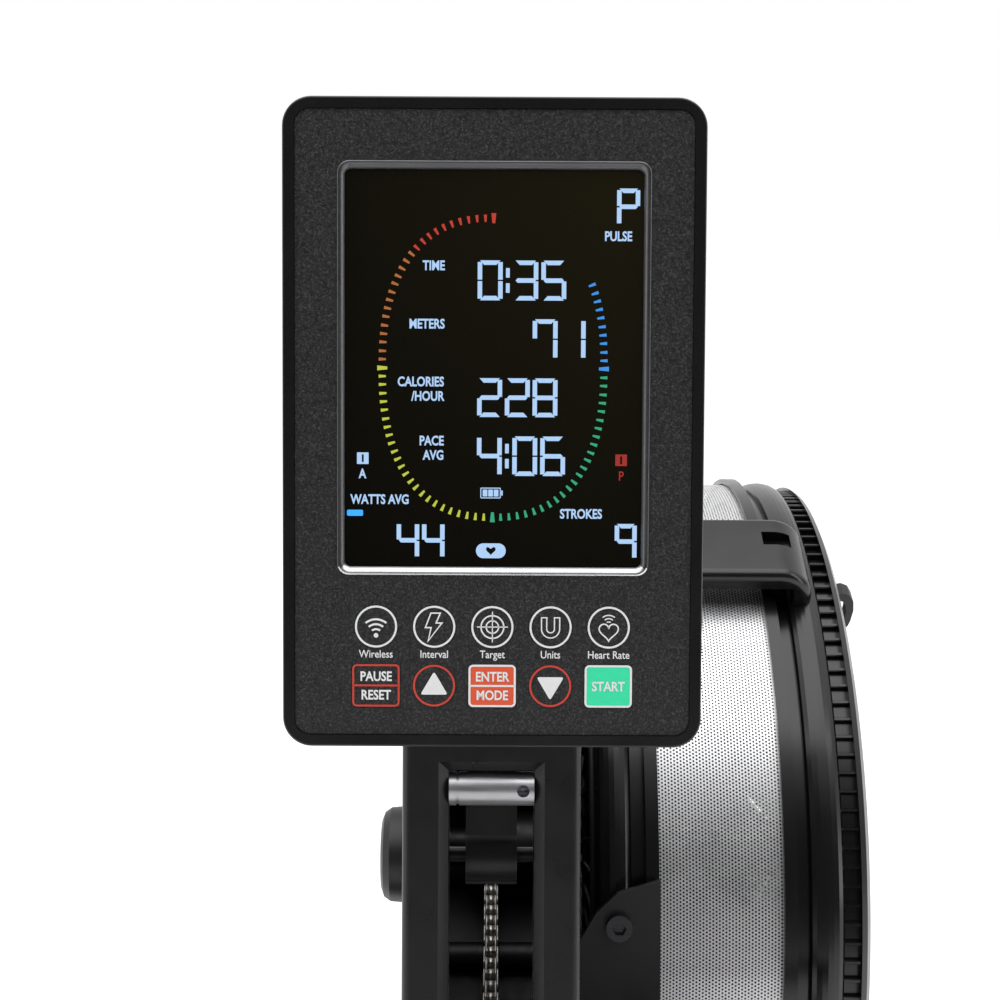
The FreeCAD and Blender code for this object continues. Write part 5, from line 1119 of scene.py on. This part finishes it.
def buckle(name, centre, radius, turn):
    """A cam buckle: a rounded frame with a knurled lever across the strap."""
    t = math.radians(turn)
    out = Vector((math.cos(t), 0, 0)) + SOLE_OUT * math.sin(t)
    along = Vector((-math.sin(t), 0, 0)) + SOLE_OUT * math.cos(t)
    origin = centre + out * radius
    frame_outline = rounded_rectangle(24 * MM, 15 * MM, 4 * MM)
    window = rounded_rectangle(20 * MM, 4 * MM, 1.5 * MM)
    low, high = 2.7 * MM, 5.6 * MM
    verts = []
    for loop, height in ((frame_outline, low), (frame_outline, high), (window, high), (window, low)):
        verts += [origin + SOLE_UP * a + along * b + out * height for a, b in loop]
    faces = tube_faces(4, len(window), 0, True)
    lever = []
    for i in range(25):
        turn_up = math.radians(200 * i / 24 - 10)
        reach = 5.2 * MM + (0.35 * MM if i % 2 else 0.0)
        lever.append((3 * MM + reach * math.cos(turn_up), 3.4 * MM + reach * math.sin(turn_up)))
    faces += bar_faces(len(lever), len(verts))
    for side in (-19 * MM, 19 * MM):
        verts += [origin + SOLE_UP * side + along * b + out * h for b, h in lever]
    made = solid(name, verts, faces, MATERIALS["moulded"], "frame")
    soften(made, 35)


def foot_straps():
    """Woven straps over the foot plates, each with its cam buckle and loose end."""
    for side, sign in (("left", -1), ("right", 1)):
        plate_x = middle(side + "_foot_plate").x
        foot = Vector((plate_x, STRAP_Y, STRAP_Z)) + SOLE_UP * STRAP_UP
        band = strap_band(side + "_strap", foot, STRAP_R, 2.0 * MM, 19 * MM, -13, 193)
        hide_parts("foot_straps")
        outer = 90 - sign * 50
        start, end = outer - sign * 6, outer + sign * 62
        strap_band(side + "_strap_tail", foot, STRAP_R + 2.3 * MM, 1.8 * MM, 18.4 * MM, start, end, 0.35)
        buckle(side + "_buckle", foot, STRAP_R - 0.3 * MM, outer)


# ---------------------------------------------------------------- seat

SEAT_HALF_X, SEAT_HALF_Y = 0.153, 0.119
SEAT_POWER = 3.4
SEAT_PAN = 6 * MM
SEAT_SPOKES = 96


def seat_outline(turn):
    """The seat's plan at an angle: a wide rounded shape with a notch at the back for the tailbone."""
    c, s = abs(math.cos(turn)) / SEAT_HALF_X, abs(math.sin(turn)) / SEAT_HALF_Y
    reach = (c**SEAT_POWER + s**SEAT_POWER) ** (-1 / SEAT_POWER)
    notch = math.exp(-((turn - 1.5 * math.pi) / 0.17) ** 2)
    front = math.exp(-((turn - 0.5 * math.pi) / 0.42) ** 2)
    return reach * (1 - 0.30 * notch - 0.07 * front)


def seat_ring(share=1.0, grow=0.0):
    """Points round the seat's plan, at a share of its reach and then grown."""
    points = []
    for k in range(SEAT_SPOKES):
        turn = 2 * math.pi * k / SEAT_SPOKES
        reach = seat_outline(turn) * share + grow
        points.append((reach * math.cos(turn), reach * math.sin(turn)))
    return points


def seat_height(x, y):
    """Height of the seat's top over its lowest point: two dishes, a centre rise and a raised rear edge."""
    across, along = x / SEAT_HALF_X, y / SEAT_HALF_Y
    rise = 0.40 + 0.42 * max(0.0, abs(across) - 0.30) ** 1.5 + 0.34 * max(0.0, -along) ** 2.2
    dish = math.exp(-(((abs(across) - 0.36) / 0.26) ** 2 + ((along + 0.12) / 0.46) ** 2))
    ridge = math.exp(-((across / 0.16) ** 2)) * 0.10
    lip = 0.12 * max(0.0, along - 0.45)
    return rise + ridge - 0.26 * dish - lip


def seat():
    """The contoured seat pad, inflated a little by a cloth simulation, on its moulded pan."""
    low, high = corners("seat_pad")
    centre = (low + high) / 2
    floor_z, room = low.z + SEAT_PAN, high.z - low.z - SEAT_PAN - 4 * MM
    rings, verts = 22, []
    for i in range(1, rings + 1):
        share = math.sin(math.pi / 2 * i / rings)
        drop = 1 - (max(0.0, share - 0.86) / 0.14) ** 2.5 * 0.45
        for x, y in seat_ring(share):
            verts.append((centre.x + x, centre.y + y, floor_z + room * min(1.0, seat_height(x, y)) * drop))
    for share in (1.005, 0.99, 0.6, 0.25):
        z = floor_z + (6 * MM if share > 1 else 0.5 * MM)
        verts += [(centre.x + x, centre.y + y, z) for x, y in seat_ring(share)]
    faces = tube_faces(len(verts) // SEAT_SPOKES, SEAT_SPOKES)
    last = len(verts) - SEAT_SPOKES
    for first, z in ((0, floor_z + room * seat_height(0, 0)), (last, floor_z + 0.5 * MM)):
        for k in range(SEAT_SPOKES):
            faces.append((first + k, first + (k + 1) % SEAT_SPOKES, len(verts)))
        verts.append((centre.x, centre.y, z))
    pad = solid("seat_cushion", verts, faces, MATERIALS["seat"], "seat", True)
    inflate(pad, 4.5 * MM, floor_z + 0.3 * MM, high.z)
    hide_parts("seat_pad")
    seat_pan(centre, low.z)


def inflate(thing, limit, lowest, highest):
    """Voxel remesh, cloth with pressure and a capped swell, applied; then one subdivision."""
    scene = bpy.context.scene
    remesh = thing.modifiers.new("remesh", "REMESH")
    remesh.mode, remesh.voxel_size = "VOXEL", 4.5 * MM
    freeze(thing)
    mesh = thing.data
    start = np.array([v.co for v in mesh.vertices])
    cloth = thing.modifiers.new("cloth", "CLOTH")
    cloth.settings.use_pressure = True
    cloth.settings.uniform_pressure_force = 4.0
    cloth.settings.effector_weights.gravity = 0.0
    cloth.settings.quality = 5
    cloth.point_cache.frame_start, cloth.point_cache.frame_end = 1, 20
    for frame_number in range(1, 21):
        scene.frame_set(frame_number)
    seen = thing.evaluated_get(bpy.context.evaluated_depsgraph_get())
    moved = np.array([v.co for v in seen.data.vertices])
    thing.modifiers.remove(cloth)
    scene.frame_set(1)
    shift = moved - start
    length = np.linalg.norm(shift, axis=1, keepdims=True)
    points = start + shift * np.minimum(1.0, limit / np.maximum(length, 1e-9))
    points[:, 2] = np.clip(points[:, 2], lowest, highest)
    mesh.vertices.foreach_set("co", points.astype(np.float32).ravel())
    mesh.update()
    smooth = thing.modifiers.new("smooth", "SMOOTH")
    smooth.factor, smooth.iterations = 0.5, 6
    finer = thing.modifiers.new("finer", "SUBSURF")
    finer.levels = finer.render_levels = 1
    freeze(thing)
    thing.data.polygons.foreach_set("use_smooth", [True] * len(thing.data.polygons))


def freeze(thing):
    """Applies a piece's modifiers to its mesh."""
    seen = thing.evaluated_get(bpy.context.evaluated_depsgraph_get())
    mesh = bpy.data.meshes.new_from_object(seen)
    thing.modifiers.clear()
    thing.data = mesh


def seat_pan(centre, bottom):
    """The moulded tray under the pad, with a rolled rim."""
    profile = [(-30, 0.2), (-3.0, 0.2), (-0.5, 1.0), (0.6, 3.0), (0.8, 7.5), (0.2, 9.0)]
    profile += [(-1.2, 9.2), (-2.0, 8.0), (-2.4, 5.4), (-30, 5.0)]
    verts = []
    for inward, up in profile:
        ring = seat_ring(1.0, (inward + 3.2) * MM)
        verts += [(centre.x + x, centre.y + y, bottom + up * MM) for x, y in ring]
    faces = tube_faces(len(profile), SEAT_SPOKES, 0, True)
    pan = solid("seat_pan", verts, faces, MATERIALS["moulded"], "seat")
    soften(pan, 40)


# ---------------------------------------------------------------- stage


def surround():
    """A studio surround: bright ahead and above, darker behind the rower's seat."""
    world = bpy.data.worlds.new("studio")
    bpy.context.scene.world = world
    world.use_nodes = True
    nodes, links = world.node_tree.nodes, world.node_tree.links
    split = nodes.new("ShaderNodeSeparateXYZ")
    links.new(nodes.new("ShaderNodeTexCoord").outputs["Generated"], split.inputs[0])
    ahead = nodes.new("ShaderNodeMath")
    ahead.operation = "MULTIPLY_ADD"
    ahead.inputs[1].default_value = 0.8
    links.new(split.outputs["Y"], ahead.inputs[0])
    links.new(split.outputs["Z"], ahead.inputs[2])
    ramp = nodes.new("ShaderNodeMapRange")
    for key, value in (("From Min", -0.1), ("From Max", 0.5), ("To Min", 0.10), ("To Max", 1.0)):
        ramp.inputs[key].default_value = value
    links.new(ahead.outputs[0], ramp.inputs["Value"])
    nodes["Background"].inputs["Color"].default_value = (1, 1, 1, 1)
    links.new(ramp.outputs["Result"], nodes["Background"].inputs["Strength"])


def lights():
    """Soft studio light: a broad overhead panel and tall panels at the sides."""
    panels = (
        ("overhead", (0.0, 0.45, 2.9), (0.0, 0.45, 0.0), (3.0, 2.6), 45),
        ("right_strip", (1.9, 0.0, 1.3), (0.05, 0.6, 0.55), (0.4, 1.8), 9),
        ("left_strip", (-1.9, -0.1, 1.3), (-0.05, 0.6, 0.55), (0.4, 1.8), 7),
    )
    for name, place, target, size, power in panels:
        data = bpy.data.lights.new(name, "AREA")
        data.shape, data.size, data.size_y, data.energy = "RECTANGLE", *size, power
        lamp = bpy.data.objects.new(name, data)
        bpy.context.collection.objects.link(lamp)
        lamp.location = place
        aim = Vector(target) - Vector(place)
        lamp.rotation_euler = aim.to_track_quat("-Z", "Y").to_euler()


def floor():
    """A plain pale floor."""
    half = 9.0
    mesh = bpy.data.meshes.new("floor")
    ring = [(-half, -half, 0), (half, -half, 0), (half, half, 0), (-half, half, 0)]
    mesh.from_pydata(ring, [], [(0, 1, 2, 3)])
    sh = Shader("floor_pale", Roughness=0.7, Emission_Strength=0.3)
    sh.main.inputs["Emission Color"].default_value = (1, 1, 1, 1)
    sh.colour(sh.blend(sh.noise(0.6, 3), (0.86, 0.86, 0.865), (0.90, 0.90, 0.90)))
    mesh.materials.append(sh.material)
    thing = bpy.data.objects.new("floor", mesh)
    bpy.context.collection.objects.link(thing)


def camera():
    """A rower's view: looking down past the display to the fan."""
    data = bpy.data.cameras.new("view")
    data.sensor_width, data.lens = 36.0, 57.6
    data.shift_x = 0.007
    data.clip_start, data.clip_end = 0.05, 60
    eye = bpy.data.objects.new("view", data)
    bpy.context.collection.objects.link(eye)
    eye.location = (0.0, -0.1282, 0.9905)
    pitch, roll = Matrix.Rotation(math.radians(90 - 15), 4, "X"), Matrix.Rotation(math.radians(0.28), 4, "Z")
    eye.matrix_world = Matrix.Translation(eye.location) @ pitch @ roll
    bpy.context.scene.camera = eye


bpy.context.scene.view_settings.view_transform = "Standard"
make_materials()
dress_frame()
monitor()
fan_mesh()
vent_ribs()
side_grille()
chain_pull()
grips()
foot_straps()
seat()
floor()
surround()
lights()
camera()
